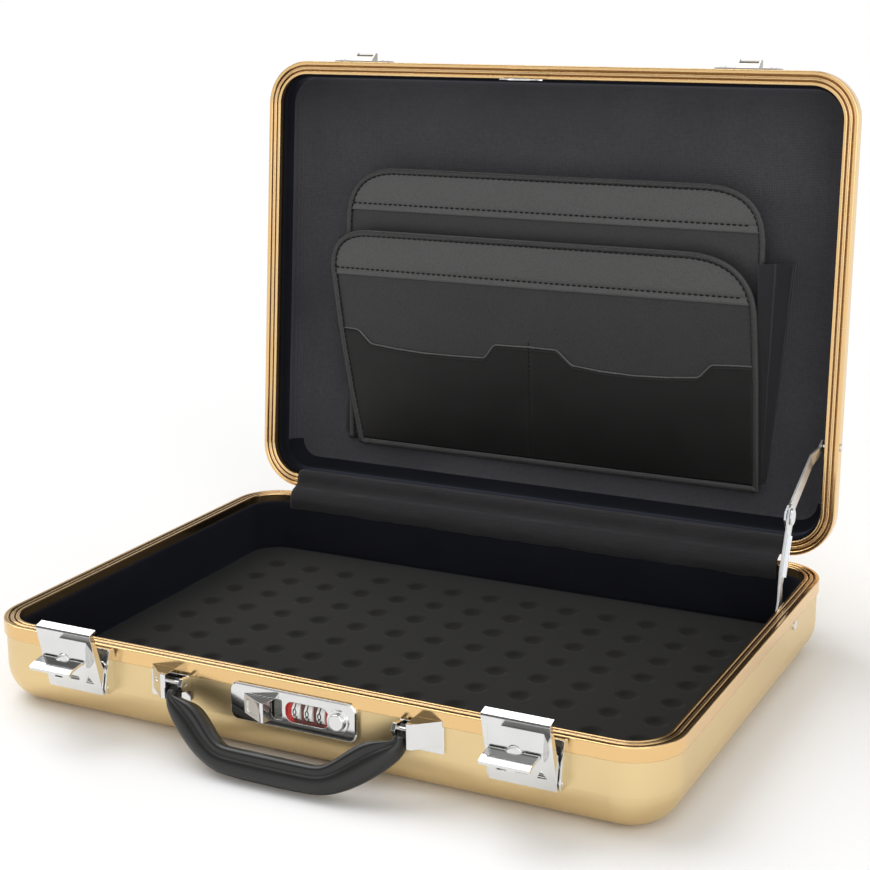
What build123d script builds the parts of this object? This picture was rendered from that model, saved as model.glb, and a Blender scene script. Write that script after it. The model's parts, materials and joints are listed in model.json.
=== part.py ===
from build123d import *
import math
import os

# Aluminium attache case, standing open on the flat bottom of its base.
# Units are millimetres. +X to the right along the front, +Y to the hinge, +Z up.
# The origin is the middle of the flat bottom.

# ---- driving dimensions -------------------------------------------------
W, D = 460.0, 334.0            # outside of the rim frames
RC = 33.0                      # plan corner radius of the frames
H_BASE = 55.0                  # floor to the base rim
H_LID = 34.0                   # lid rim to the lid's outer face
INSET = 1.5                    # shells sit this far inside the frames
T_SHELL = 1.2
R_BASE, R_LID = 25.0, 21.0     # edge radii of the two shells
FRAME_H = 9.0                  # visible band of each frame
LINE = 12.0                    # inner face of the linings, from the frame's outside
OPEN = 94.6                    # lid angle from shut
HY, HZ = D / 2 + 2.7, H_BASE + 0.15   # hinge axis
GAP = 0.3                      # between the two rims when shut
FOAM_Z = 11.0                  # top of the foam pad
PITCH_X, PITCH_Y = 30.2, 30.3  # dimple grid
DIMPLE_R, DIMPLE_DEPTH = 7.2, 2.8
WALL = -(D / 2 - INSET)        # outer face of the front shell wall
BAND = -D / 2                  # outer face of the front frame band
LATCH_X = 150.5
LATCH_LEAN = 15.0
LOCK_X, LOCK_Z = 1.0, H_BASE - 17.8
HANDLE_X, HANDLE_Y, HANDLE_Z = 77.0, -172.8, H_BASE - 12.2
HANDLE_LEAN = 31.0
STAY_A = (82.0, 42.0)          # y, z of the stay's pivot on the base
STAY_J = (112.0, 105.0)        # knuckle
STAY_B = (88.0, 5.1)           # pivot on the lid, in the lid's own y, z

_a = math.radians(-OPEN)
CA, SA = math.cos(_a), math.sin(_a)


def turn(v):
    return Vector(v[0], CA * v[1] - SA * v[2], SA * v[1] + CA * v[2])


def lid_pt(x, y, z):
    """A point given in the lid's own frame: x right, y to the hinge, z into the lid from its rim."""
    return Vector(0, HY, HZ) + turn((x, y - HY, z + GAP / 2))


def lid_plane(o, x, z):
    return Plane(origin=lid_pt(*o), x_dir=turn(x), z_dir=turn(z))


def front_plane(x, y, z):
    """Looking at the front wall: local x right, local y up, normal outwards."""
    return Plane(origin=(x, y, z), x_dir=(1, 0, 0), z_dir=(0, -1, 0))


def side_plane(x):
    """Local x is Y, local y is Z, normal is +X."""
    return Plane(origin=(x, 0, 0), x_dir=(0, 1, 0), z_dir=(1, 0, 0))


def rim_path(pl):
    hx, hy = W / 2, D / 2
    with BuildLine(pl) as line:
        Line((0, -hy), (hx - RC, -hy))
        RadiusArc((hx - RC, -hy), (hx, -hy + RC), -RC)
        Line((hx, -hy + RC), (hx, hy - RC))
        RadiusArc((hx, hy - RC), (hx - RC, hy), -RC)
        Line((hx - RC, hy), (-hx + RC, hy))
        RadiusArc((-hx + RC, hy), (-hx, hy - RC), -RC)
        Line((-hx, hy - RC), (-hx, -hy + RC))
        RadiusArc((-hx, -hy + RC), (-hx + RC, -hy), -RC)
        Line((-hx + RC, -hy), (0, -hy))
    return line


# Extruded rim section: outer lip, groove, rib, groove, inner lip; a slot below takes the shell's edge.
RIM = [(0, -FRAME_H), (0, -0.7), (0.2, -0.2), (0.7, 0), (2.5, 0), (3.0, -0.5), (3.1, -1.7), (3.9, -1.7),
       (4.0, -0.6), (4.5, -0.1), (5.1, -0.1), (5.3, -0.35), (5.5, -0.1), (6.1, -0.1), (6.6, -0.6), (6.7, -1.7),
       (7.4, -1.7), (7.5, -0.5), (8.0, 0), (9.3, 0), (9.8, -0.2), (10, -0.7), (10, -6), (8.8, -6), (8.8, -3.2),
       (3.9, -3.2), (3.9, -FRAME_H), (INSET + T_SHELL, -FRAME_H), (INSET + T_SHELL, -4), (INSET, -4), (INSET, -FRAME_H)]

os.makedirs("parts", exist_ok=True)


def save(part, name):
    part.label = name
    export_step(part, "parts/" + name + ".step")


# ---- base ---------------------------------------------------------------
ws, ds, rs = W - 2 * INSET, D - 2 * INSET, RC - INSET
wi, di, ri = ws - 2 * T_SHELL, ds - 2 * T_SHELL, rs - T_SHELL
wl, dl, rl = W - 2 * LINE, D - 2 * LINE, RC - LINE

with BuildPart() as base_shell:
    with BuildSketch(Plane.XY):
        RectangleRounded(ws, ds, rs)
    extrude(amount=H_BASE - 4.0)
    fillet(base_shell.edges().filter_by_position(Axis.Z, -0.1, 0.1), R_BASE)
    offset(amount=-T_SHELL, openings=base_shell.faces().sort_by(Axis.Z)[-1])
    # through holes: lock body, latch, bracket and stay fixings
    with BuildSketch(front_plane(LOCK_X, WALL - 1, LOCK_Z)):
        SlotOverall(79.6, 17.6)
    extrude(amount=-6, mode=Mode.SUBTRACT)
    with BuildSketch(front_plane(0, WALL - 1, 0)):
        for s in (-1, 1):
            with Locations((s * LATCH_X - 15, H_BASE - 13.5), (s * LATCH_X + 15, H_BASE - 13.5)):
                Circle(1.6)
            with Locations((s * 85 - 6, H_BASE - 17.5), (s * 85 + 6, H_BASE - 17.5)):
                Circle(1.6)
    extrude(amount=-6, mode=Mode.SUBTRACT)
    with BuildSketch(side_plane(W / 2 + 1)):
        with Locations(STAY_A):
            Circle(1.85)
    extrude(amount=-8, mode=Mode.SUBTRACT)
save(base_shell.part, "base_shell")

with BuildPart() as base_frame:
    base_rim = rim_path(Plane.XY.offset(H_BASE))
    with BuildSketch(Plane(origin=(0, -D / 2, H_BASE), x_dir=(0, 1, 0), z_dir=(1, 0, 0))):
        Polygon(*RIM, align=None)
    sweep(path=base_rim.wires()[0])
    # three screw seats for the rear hinge leaf
    with BuildSketch(Plane(origin=(0, D / 2 + 1, H_BASE - 5.2), x_dir=(-1, 0, 0), z_dir=(0, 1, 0))):
        with Locations(*[(x, 0) for x in (-160, -80, 0, 80, 160)]):
            Circle(1.35)
    extrude(amount=-2.6, mode=Mode.SUBTRACT)
save(base_frame.part, "base_frame")

with BuildPart() as base_lining:
    # backed wall lining, filling between the shell and the velvet face
    with BuildSketch(Plane.XY.offset(T_SHELL)):
        RectangleRounded(wi, di, ri)
    extrude(amount=H_BASE - 3.2 - T_SHELL)
    fillet(base_lining.edges().filter_by_position(Axis.Z, T_SHELL - 0.1, T_SHELL + 0.1), R_BASE - T_SHELL)
    with BuildSketch(Plane.XY.offset(-1)):
        Rectangle(W, D)
    extrude(amount=FOAM_Z + 1, mode=Mode.SUBTRACT)
    with BuildSketch(Plane.XY.offset(FOAM_Z - 1)):
        RectangleRounded(wl, dl, rl)
    extrude(amount=H_BASE, mode=Mode.SUBTRACT)
    # steps under the frame's skirt and inner leg
    with BuildSketch(Plane.XY.offset(H_BASE - FRAME_H)):
        RectangleRounded(W, D, RC)
        RectangleRounded(W - 7.8, D - 7.8, RC - 3.9, mode=Mode.SUBTRACT)
    extrude(amount=FRAME_H, mode=Mode.SUBTRACT)
    with BuildSketch(Plane.XY.offset(H_BASE - 6)):
        RectangleRounded(W - 17.6, D - 17.6, RC - 8.8)
    extrude(amount=6, mode=Mode.SUBTRACT)
    # pockets behind the lock, the latch rivets, the bracket screws and the stay rivet
    with BuildSketch(front_plane(LOCK_X, WALL, LOCK_Z)):
        RectangleRounded(84, 17.6, 3)
    extrude(amount=-9.3, mode=Mode.SUBTRACT)
    with BuildSketch(front_plane(0, WALL, 0)):
        for s in (-1, 1):
            with Locations((s * LATCH_X - 15, H_BASE - 13.5), (s * LATCH_X + 15, H_BASE - 13.5),
                           (s * 85 - 6, H_BASE - 17.5), (s * 85 + 6, H_BASE - 17.5)):
                Circle(3.4)
    extrude(amount=-4.2, mode=Mode.SUBTRACT)
    with BuildSketch(side_plane(W / 2 + 1)):
        with Locations(STAY_A):
            Circle(1.85)
    extrude(amount=-14, mode=Mode.SUBTRACT)
    # notches the striker's two tabs drop into
    with BuildSketch(Plane.XY.offset(LOCK_Z + 12)):
        with Locations((-26, BAND + 10.7), (-2, BAND + 10.7)):
            Rectangle(7.6, 2.8)
    extrude(amount=-6, mode=Mode.SUBTRACT)
    # and a shallow seat for its plate
    with BuildSketch(Plane.XY.offset(LOCK_Z + 12)):
        with Locations((-14, BAND + 10.7)):
            Rectangle(35.4, 3.0)
    extrude(amount=-1.3, mode=Mode.SUBTRACT)
save(base_lining.part, "base_lining")

with BuildPart() as base_foam_pad:
    with BuildSketch(Plane.XY.offset(T_SHELL)):
        RectangleRounded(wi, di, ri)
    extrude(amount=H_BASE - T_SHELL)
    fillet(base_foam_pad.edges().filter_by_position(Axis.Z, T_SHELL - 0.1, T_SHELL + 0.1), R_BASE - T_SHELL)
    with BuildSketch(Plane.XY.offset(FOAM_Z)):
        Rectangle(W, D)
    extrude(amount=H_BASE, mode=Mode.SUBTRACT)
    # square grid of shallow spherical dimples
    rad = (DIMPLE_R ** 2 + DIMPLE_DEPTH ** 2) / (2 * DIMPLE_DEPTH)
    with Locations(*[(-5 + PITCH_X * i, -3.2 + PITCH_Y * j, FOAM_Z + rad - DIMPLE_DEPTH)
                     for i in range(-6, 7) for j in range(-4, 5)]):
        Sphere(rad, mode=Mode.SUBTRACT)
save(base_foam_pad.part, "base_foam_pad")

# ---- lid ----------------------------------------------------------------
lid_top = lid_plane((0, 0, H_LID), (1, 0, 0), (0, 0, -1))
lid_axis = Axis(lid_top.origin, lid_top.z_dir)


def lid_off(d):
    return lid_top.offset(d)


with BuildPart() as lid_shell:
    with BuildSketch(lid_top):
        RectangleRounded(ws, ds, rs)
    extrude(amount=H_LID - 4.0)
    fillet(lid_shell.faces().sort_by(lid_axis)[0].edges(), R_LID)
    offset(amount=-T_SHELL, openings=lid_shell.faces().sort_by(lid_axis)[-1])
    with BuildSketch(lid_plane((W / 2 + 1, STAY_B[0], STAY_B[1]), (0, 1, 0), (1, 0, 0))):
        Circle(1.25)
    extrude(amount=-6, mode=Mode.SUBTRACT)
save(lid_shell.part, "lid_shell")

with BuildPart() as lid_frame:
    lid_rim = rim_path(lid_plane((0, 0, 0), (1, 0, 0), (0, 0, 1)))
    # same section, upside down
    with BuildSketch(lid_plane((0, -D / 2, 0), (0, 1, 0), (1, 0, 0))):
        Polygon(*[(r, -z) for r, z in RIM][::-1], align=None)
    sweep(path=lid_rim.wires()[0])
    with BuildSketch(lid_plane((0, D / 2 + 1, 5.2), (1, 0, 0), (0, 1, 0))):
        with Locations(*[(x, 0) for x in (-160, -80, 0, 80, 160)]):
            Circle(1.35)
    extrude(amount=-2.6, mode=Mode.SUBTRACT)
    # keeper rivets in the front band, stay rivet in the right side
    with BuildSketch(lid_plane((0, BAND - 1, 6.5), (1, 0, 0), (0, -1, 0))):
        with Locations(*[(s * LATCH_X + e, 0) for s in (-1, 1) for e in (-18, 18)]):
            Circle(1.25)
    extrude(amount=-2.6, mode=Mode.SUBTRACT)
    with BuildSketch(lid_plane((W / 2 + 1, STAY_B[0], STAY_B[1]), (0, 1, 0), (1, 0, 0))):
        Circle(1.25)
    extrude(amount=-13, mode=Mode.SUBTRACT)
save(lid_frame.part, "lid_frame")

with BuildPart() as lid_cavity:
    # the space the lining leaves, with softly rounded back edges
    with BuildSketch(lid_off(T_SHELL + 2.4)):
        RectangleRounded(wl, dl, rl)
    extrude(amount=H_LID)
    fillet(lid_cavity.faces().sort_by(lid_axis)[0].edges(), 12)

with BuildPart() as lid_lining:
    with BuildSketch(lid_off(T_SHELL)):
        RectangleRounded(wi, di, ri)
    extrude(amount=H_LID - 3.2 - T_SHELL)
    fillet(lid_lining.faces().sort_by(lid_axis)[0].edges(), R_LID - T_SHELL)
    add(lid_cavity.part, mode=Mode.SUBTRACT)
    with BuildSketch(lid_off(H_LID - FRAME_H)):
        RectangleRounded(W, D, RC)
        RectangleRounded(W - 7.8, D - 7.8, RC - 3.9, mode=Mode.SUBTRACT)
    extrude(amount=FRAME_H, mode=Mode.SUBTRACT)
    with BuildSketch(lid_off(H_LID - 6)):
        RectangleRounded(W - 17.6, D - 17.6, RC - 8.8)
    extrude(amount=6, mode=Mode.SUBTRACT)
    with BuildSketch(lid_plane((W / 2 + 1, STAY_B[0], STAY_B[1]), (0, 1, 0), (1, 0, 0))):
        Circle(1.45)
    extrude(amount=-14, mode=Mode.SUBTRACT)
save(lid_lining.part, "lid_lining")

# ---- organiser in the lid -----------------------------------------------
LZ = H_LID - T_SHELL - 2.4     # lining's back face, in the lid's z


def tilted_panel(x0, x1, y_top, z_top, y_bot, z_bot):
    """Plane on a leaning pocket panel: local x right, local y from the bottom edge to the top edge."""
    dy, dz = y_top - y_bot, z_top - z_bot
    n = math.hypot(dy, dz)
    return lid_plane((0, y_bot, z_bot), (1, 0, 0), (0, -dz / n, dy / n)), n


back_pl, back_h = tilted_panel(-170, 170, -88, 12.0, 128, 27.6)
front_pl, front_h = tilted_panel(-168, 168, -40, 3.5, 130, 24.4)

with BuildPart() as pocket_back:
    with BuildSketch(back_pl):
        with BuildLine():
            Polyline((-168, 0), (168, 0), (168, back_h - 20), (140, back_h), (-136, back_h), (-168, back_h - 38), close=True)
        make_face()
    extrude(amount=-1.6)
    fillet(pocket_back.edges().filter_by(Axis(lid_top.origin, back_pl.z_dir))[:], 4)
save(pocket_back.part, "pocket_back")

with BuildPart() as pocket_front:
    with BuildSketch(front_pl):
        with BuildLine():
            Polyline((-164, 0), (170, 0), (166, front_h - 20), (130, front_h), (-153, front_h), (-178, front_h - 26), close=True)
        make_face()
    extrude(amount=-1.8)
    fillet(pocket_front.edges().filter_by(Axis(lid_top.origin, front_pl.z_dir))[:], 4)
save(pocket_front.part, "pocket_front")

with BuildPart() as pocket_cards:
    with BuildSketch(front_pl.offset(0.05)):
        with BuildLine():
            Polyline((-160, 3), (166, 3), (164, 92), (133, 82), (38, 82), (20, 92), (-10, 92), (-36, 84), (-140, 84),
                     (-152, 92), (-160, 92), close=True)
        make_face()
    extrude(amount=1.1)
save(pocket_cards.part, "pocket_cards")


def gusset(s):
    """Accordion side wall between the lid lining and the front pocket's edge."""
    y0, y1 = 124.0, -34.0
    with BuildPart() as g:
        for y, zt, e in ((y0, 26.4, 0.0), (y1, 6.6, 1.0)):
            x = 171.5
            w = 1.0 if s > 0 else 0.4      # the left one lies nearly flat
            f = [(x + 1, LZ), (x + 3 + 9 * w * e, LZ - (LZ - zt) * 0.25), (x + 1 + 4 * w * e, LZ - (LZ - zt) * 0.5),
                 (x + 3 + 11 * w * e, LZ - (LZ - zt) * 0.75), (x + 1, zt)]
            pts = f + [(px + 1.0, pz) for px, pz in f[::-1]]
            with BuildSketch(lid_plane((0, y, 0), (s, 0, 0), (0, -s, 0) if s > 0 else (0, 1, 0))):
                Polygon(*[(px, pz) for px, pz in pts], align=None)
        loft(ruled=True)
    return g


for s, nm in ((-1, "gusset_left"), (1, "gusset_right")):
    g = gusset(s)
    save(g.part, nm)

# ---- hinge --------------------------------------------------------------
HR, PIN_R = 2.3, 1.15
HINGE_HALF = 180.0
SEG = 2 * HINGE_HALF / 9


def hinge_leaf(base):
    if base:
        sk = Plane(origin=(-HINGE_HALF, 0, 0), x_dir=(0, 1, 0), z_dir=(1, 0, 0))
    else:
        sk = lid_plane((-HINGE_HALF, 0, 0), (0, 1, 0), (1, 0, 0))
    rim = H_BASE if base else 0.0
    sgn = -1 if base else 1
    ax = (HY, HZ) if base else (HY, -GAP / 2)
    with BuildPart() as leaf:
        with BuildSketch(sk):
            with BuildLine():
                Polyline((D / 2, rim + sgn * 0.6), (D / 2 + 1.1, rim + sgn * 0.6), (D / 2 + 1.1, rim + sgn * 9.0),
                         (D / 2, rim + sgn * 9.0), close=True)
            make_face()
        extrude(amount=2 * HINGE_HALF)
        with BuildSketch(sk):
            with Locations(ax):
                Circle(HR)
        extrude(amount=2 * HINGE_HALF)
        with BuildSketch(sk):
            with Locations(ax):
                Circle(PIN_R if base else PIN_R + 0.06)
        extrude(amount=2 * HINGE_HALF, mode=Mode.SUBTRACT)
        # knuckles alternate between the leaves
        for i in range(9):
            if (i % 2 == 0) != base:
                with BuildSketch(sk.offset(i * SEG - 0.2)):
                    with Locations(ax):
                        Circle(HR + 0.35)
                extrude(amount=SEG + 0.4, mode=Mode.SUBTRACT)
        # rivet holes
        if base:
            hp = Plane(origin=(0, D / 2 + 3, H_BASE - 5.2), x_dir=(-1, 0, 0), z_dir=(0, 1, 0))
        else:
            hp = lid_plane((0, D / 2 + 3, 5.2), (1, 0, 0), (0, 1, 0))
        with BuildSketch(hp):
            with Locations(*[(x, 0) for x in (-160, -80, 0, 80, 160)]):
                Circle(1.35)
        extrude(amount=-4, mode=Mode.SUBTRACT)
    return leaf


leaf_b = hinge_leaf(True)
save(leaf_b.part, "hinge_leaf_base")
leaf_l = hinge_leaf(False)
save(leaf_l.part, "hinge_leaf_lid")

with BuildPart() as hinge_pin:
    with BuildSketch(Plane(origin=(-HINGE_HALF - 0.5, HY, HZ), x_dir=(0, 1, 0), z_dir=(1, 0, 0))):
        Circle(PIN_R)
    extrude(amount=2 * HINGE_HALF + 1)
save(hinge_pin.part, "hinge_pin")

with BuildPart() as hinge_rivets_base:
    for x in (-160, -80, 0, 80, 160):
        with BuildSketch(Plane(origin=(x, D / 2 + 1.1, H_BASE - 5.2), x_dir=(-1, 0, 0), z_dir=(0, 1, 0))):
            Circle(2.3)
        extrude(amount=0.8)
        with BuildSketch(Plane(origin=(x, D / 2 + 1.1, H_BASE - 5.2), x_dir=(-1, 0, 0), z_dir=(0, 1, 0))):
            Circle(1.3)
        extrude(amount=-2.3)
save(hinge_rivets_base.part, "hinge_rivets_base")

with BuildPart() as hinge_rivets_lid:
    for x in (-160, -80, 0, 80, 160):
        with BuildSketch(lid_plane((x, D / 2 + 1.1, 5.2), (1, 0, 0), (0, 1, 0))):
            Circle(2.3)
        extrude(amount=0.8)
        with BuildSketch(lid_plane((x, D / 2 + 1.1, 5.2), (1, 0, 0), (0, 1, 0))):
            Circle(1.3)
        extrude(amount=-2.3)
save(hinge_rivets_lid.part, "hinge_rivets_lid")

# Fabric strip over the inside of the hinge line, from the base lining over both rims to the lid lining.
with BuildPart() as hinge_cover:
    y_in = D / 2 - LINE
    a = lid_pt(0, D / 2 - LINE - 0.9, 14.0)
    b = lid_pt(0, D / 2 - LINE - 0.8, 4.0)
    run = [(y_in - 0.4, 44.0), (y_in - 0.6, 52.0), (y_in + 3.0, 58.4), (y_in + 10.5, 61.6), (b.Y - 5.0, b.Z - 1.2), (b.Y, b.Z),
           (a.Y, a.Z)]
    with BuildSketch(Plane(origin=(-196, 0, 0), x_dir=(0, 1, 0), z_dir=(1, 0, 0))):
        with BuildLine():
            s1 = Spline(*run)
            s2 = Spline(*[(p.X - 0.6 * t.Y, p.Y + 0.6 * t.X) for p, t in
                          [(s1 @ (u / 16), (s1 % (u / 16)).normalized()) for u in range(17)]])
            Line(s1 @ 0, s2 @ 0)
            Line(s1 @ 1, s2 @ 1)
        make_face()
    extrude(amount=392)
save(hinge_cover.part, "hinge_cover")

# ---- lid hardware -------------------------------------------------------
BAR_OUT, BAR_Z = 5.0, 11.8     # keeper bar: out from the band, up from the shut rim plane


def keeper(s):
    x = s * LATCH_X
    with BuildPart() as k:
        with BuildSketch(lid_plane((x, BAND, 7.4), (1, 0, 0), (0, -1, 0))):
            RectangleRounded(46, 11.6, 2.0)
            with Locations((-18, -0.9), (18, -0.9)):
                Circle(1.25, mode=Mode.SUBTRACT)
        extrude(amount=1.1)
        # two saddle cheeks either side of the bar
        for e in (-8.2, 7.0):
            with BuildSketch(lid_plane((x + e, 0, 0), (0, 1, 0), (1, 0, 0))):
                with BuildLine():
                    Polyline((BAND - 1.1, 3.6), (BAND - 5.6, 8.6), (BAND - 7.0, 10.6), (BAND - 7.0, 12.6), (BAND - 6.0, 13.1),
                             (BAND - 1.1, 13.1), close=True)
                make_face()
                with Locations((BAND - BAR_OUT, BAR_Z - 0.5)):
                    Circle(1.4, mode=Mode.SUBTRACT)
            extrude(amount=1.2)
        # ramp between the cheeks
        with BuildSketch(lid_plane((x - 7.0, 0, 0), (0, 1, 0), (1, 0, 0))):
            with BuildLine():
                Polyline((BAND - 1.1, 3.6), (BAND - 4.4, 7.3), (BAND - 3.4, 7.9), (BAND - 1.1, 6.0), close=True)
            make_face()
        extrude(amount=14.0)
    return k


def keeper_bar(s):
    with BuildPart() as b:
        with BuildSketch(lid_plane((s * LATCH_X - 8.2, BAND - BAR_OUT, BAR_Z - 0.5), (0, 1, 0), (1, 0, 0))):
            Circle(1.4)
        extrude(amount=16.4)
    return b


for s, nm in ((-1, "left"), (1, "right")):
    k = keeper(s)
    save(k.part, "keeper_" + nm)
    kb = keeper_bar(s)
    save(kb.part, "keeper_bar_" + nm)

with BuildPart() as keeper_rivets:
    for x in [s * LATCH_X + e for s in (-1, 1) for e in (-18, 18)]:
        with BuildSketch(lid_plane((x, BAND - 1.1, 6.5), (1, 0, 0), (0, -1, 0))):
            Circle(2.2)
        extrude(amount=0.8)
        with BuildSketch(lid_plane((x, BAND - 1.1, 6.5), (1, 0, 0), (0, -1, 0))):
            Circle(1.2)
        extrude(amount=-2.3)
save(keeper_rivets.part, "keeper_rivets")

# Striker on the lid's front rim for the combination lock's bolt.
SX = -14.0
with BuildPart() as lock_striker:
    with BuildSketch(lid_plane((SX, BAND + 10.0, 0), (1, 0, 0), (0, 1, 0))):
        with Locations((0, 3.6)):
            RectangleRounded(34, 6.4, 1.2)
    extrude(amount=1.2)
    for e in (-15.0, 9.0):
        with BuildSketch(lid_plane((SX + e, 0, 0), (0, 1, 0), (1, 0, 0))):
            with BuildLine():
                Polyline((BAND + 10.0, 0.4), (BAND + 10.0, -9.0), (BAND + 10.3, -10.6), (BAND + 10.9, -10.6), (BAND + 11.2, -9.0),
                         (BAND + 11.2, 0.4), close=True)
            make_face()
        extrude(amount=6.0)
        # window the bolt enters
        with BuildSketch(lid_plane((SX + e + 3.0, BAND + 12.0, -6.6), (1, 0, 0), (0, -1, 0))):
            Rectangle(3.4, 3.6)
        extrude(amount=3, mode=Mode.SUBTRACT)
save(lock_striker.part, "lock_striker")

# ---- combination lock ---------------------------------------------------
P_OUT = 3.4                    # plate face, out from the wall
DIAL_X = (LOCK_X + 2.2, LOCK_X + 10.5, LOCK_X + 18.8)
DIAL_R, DIAL_W, DIAL_AX = 6.0, 5.4, 3.0   # axis this far behind the wall's outer face
BTN_X = LOCK_X + 30.9
WIN_X, WIN_W, WIN_H = LOCK_X + 10.1, 29.0, 12.6
SL_X0, SL_X1 = LOCK_X - 32.4, LOCK_X - 6.6  # slide's slot

with BuildPart() as lock_plate:
    with BuildSketch(front_plane(LOCK_X, WALL, LOCK_Z)):
        RectangleRounded(85.5, 23.5, 5.5)
    extrude(amount=P_OUT)
    chamfer(lock_plate.faces().sort_by(Axis.Y)[0].edges(), 0.9)
    # step that clears the frame band
    with BuildSketch(front_plane(LOCK_X, BAND, H_BASE - 4.02)):
        Rectangle(100, 10)
    extrude(amount=-4, mode=Mode.SUBTRACT)
    with BuildSketch(front_plane(0, WALL - P_OUT - 1, LOCK_Z)):
        with Locations((WIN_X, 0)):
            RectangleRounded(WIN_W, WIN_H, 5.0)
        with Locations(((SL_X0 + SL_X1) / 2, 0)):
            RectangleRounded(SL_X1 - SL_X0, 12.6, 1.0)
        with Locations((BTN_X, 0)):
            Circle(5.2)
    extrude(amount=-P_OUT - 2, mode=Mode.SUBTRACT)
    # raised collar round the button
    with BuildSketch(front_plane(BTN_X, WALL - P_OUT, LOCK_Z)):
        Circle(7.0)
        Circle(5.2, mode=Mode.SUBTRACT)
    extrude(amount=0.9)
save(lock_plate.part, "lock_plate")

# Die-cast body behind the wall, with bays for the dials, the slide and the button.
with BuildPart() as lock_case:
    with BuildSketch(front_plane(LOCK_X, WALL, LOCK_Z)):
        SlotOverall(79.4, 17.4)
    extrude(amount=-T_SHELL)
    with BuildSketch(front_plane(LOCK_X, WALL + T_SHELL, LOCK_Z)):
        RectangleRounded(83.6, 17.2, 2.8)
    extrude(amount=-7.9)
    with BuildSketch(front_plane(0, WALL - 1, LOCK_Z)):
        with Locations((DIAL_X[1] + 0.4, 0)):
            Rectangle(26.6, 13.0)
    extrude(amount=-1 - 5.0, mode=Mode.SUBTRACT)
    # dial bay runs deeper so that the wheels clear it
    with BuildSketch(Plane(origin=(DIAL_X[0] - 3.2, 0, 0), x_dir=(0, 1, 0), z_dir=(1, 0, 0))):
        with Locations((WALL + DIAL_AX, LOCK_Z)):
            Circle(DIAL_R + 0.35)
    extrude(amount=23.2, mode=Mode.SUBTRACT)
    with BuildSketch(Plane(origin=(DIAL_X[0] - 5.8, WALL + DIAL_AX, LOCK_Z), x_dir=(0, 1, 0), z_dir=(1, 0, 0))):
        Circle(1.22)
    extrude(amount=28.4, mode=Mode.SUBTRACT)
    with BuildSketch(front_plane(0, WALL - 1, LOCK_Z)):
        with Locations(((SL_X0 + SL_X1) / 2, 0)):
            Rectangle(SL_X1 - SL_X0 + 0.4, 12.6)
    extrude(amount=-1 - 6.0, mode=Mode.SUBTRACT)
    with BuildSketch(front_plane(0, WALL - 1, LOCK_Z)):
        with Locations((BTN_X, 0)):
            Circle(5.2)
    extrude(amount=-1 - 6.6, mode=Mode.SUBTRACT)
    # slots in the top for the striker's tabs
    with BuildSketch(Plane.XY.offset(LOCK_Z + 12)):
        with Locations((SX - 12, BAND + 10.6), (SX + 12, BAND + 10.6)):
            Rectangle(7.2, 2.0)
    extrude(amount=-5.4, mode=Mode.SUBTRACT)
save(lock_case.part, "lock_case")

with BuildPart() as lock_backing:
    # red ground seen between the wheels
    with BuildSketch(front_plane(0, WALL - 0.2, LOCK_Z)):
        with Locations((WIN_X, 0)):
            RectangleRounded(WIN_W - 0.2, WIN_H - 0.2, 4.9)
        for x in DIAL_X:
            with Locations((x, 0)):
                Rectangle(DIAL_W + 0.7, 10.6, mode=Mode.SUBTRACT)
    extrude(amount=1.0)
save(lock_backing.part, "lock_backing")

with BuildPart() as dial_axle:
    with BuildSketch(Plane(origin=(DIAL_X[0] - 5.6, WALL + DIAL_AX, LOCK_Z), x_dir=(0, 1, 0), z_dir=(1, 0, 0))):
        Circle(1.2)
    extrude(amount=28.0)
save(dial_axle.part, "dial_axle")

for n in range(3):
    with BuildPart() as dial:
        pl = Plane(origin=(DIAL_X[n] - DIAL_W / 2, WALL + DIAL_AX, LOCK_Z), x_dir=(0, 1, 0), z_dir=(1, 0, 0))
        with BuildSketch(pl):
            RegularPolygon(DIAL_R, 10, rotation=18)
            Circle(1.26, mode=Mode.SUBTRACT)
        extrude(amount=DIAL_W - 1.5)
        with BuildSketch(pl):
            Circle(DIAL_R - 0.9)
            Circle(1.26, mode=Mode.SUBTRACT)
        extrude(amount=DIAL_W)
        # knurled collar beside the number facets
        with BuildSketch(pl.offset(DIAL_W - 1.4)):
            RegularPolygon(DIAL_R, 30)
            Circle(1.26, mode=Mode.SUBTRACT)
        extrude(amount=1.4)
    save(dial.part, "lock_dial_" + str(n + 1))

with BuildPart() as lock_slide:
    # wedge-shaped thumb piece, thin end to the left
    with BuildSketch(Plane(origin=(0, 0, LOCK_Z - 6.0), x_dir=(1, 0, 0), z_dir=(0, 0, 1))):
        with BuildLine():
            Polyline((SL_X0 + 0.4, WALL + 4.6), (SL_X0 + 0.4, WALL - P_OUT - 0.6), (SL_X0 + 16.4, WALL - P_OUT - 9.4),
                     (SL_X0 + 18.2, WALL - P_OUT - 9.4), (SL_X0 + 20.8, WALL - P_OUT - 0.4), (SL_X0 + 20.8, WALL + 4.6), close=True)
        make_face()
    extrude(amount=12.0)
    chamfer(lock_slide.edges().filter_by(Axis.Z).sort_by(Axis.Y)[:2], 0.4)
    # shallow panel in the sloping thumb face
    ang = math.atan2(8.8, 16.0)
    o = Vector(SL_X0 + 8.4, WALL - P_OUT - 5.0, LOCK_Z)
    with BuildSketch(Plane(origin=o, x_dir=(math.cos(ang), -math.sin(ang), 0), z_dir=(-math.sin(ang), -math.cos(ang), 0))):
        RectangleRounded(12.4, 8.4, 1.6)
    extrude(amount=-0.5, mode=Mode.SUBTRACT)
save(lock_slide.part, "lock_slide")

with BuildPart() as lock_button:
    with BuildSketch(front_plane(BTN_X, WALL + 3.0, LOCK_Z)):
        Circle(5.14)
    extrude(amount=3.0 + P_OUT + 3.2)
    fillet(lock_button.faces().sort_by(Axis.Y)[0].edges(), 0.9)
save(lock_button.part, "lock_button")

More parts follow.
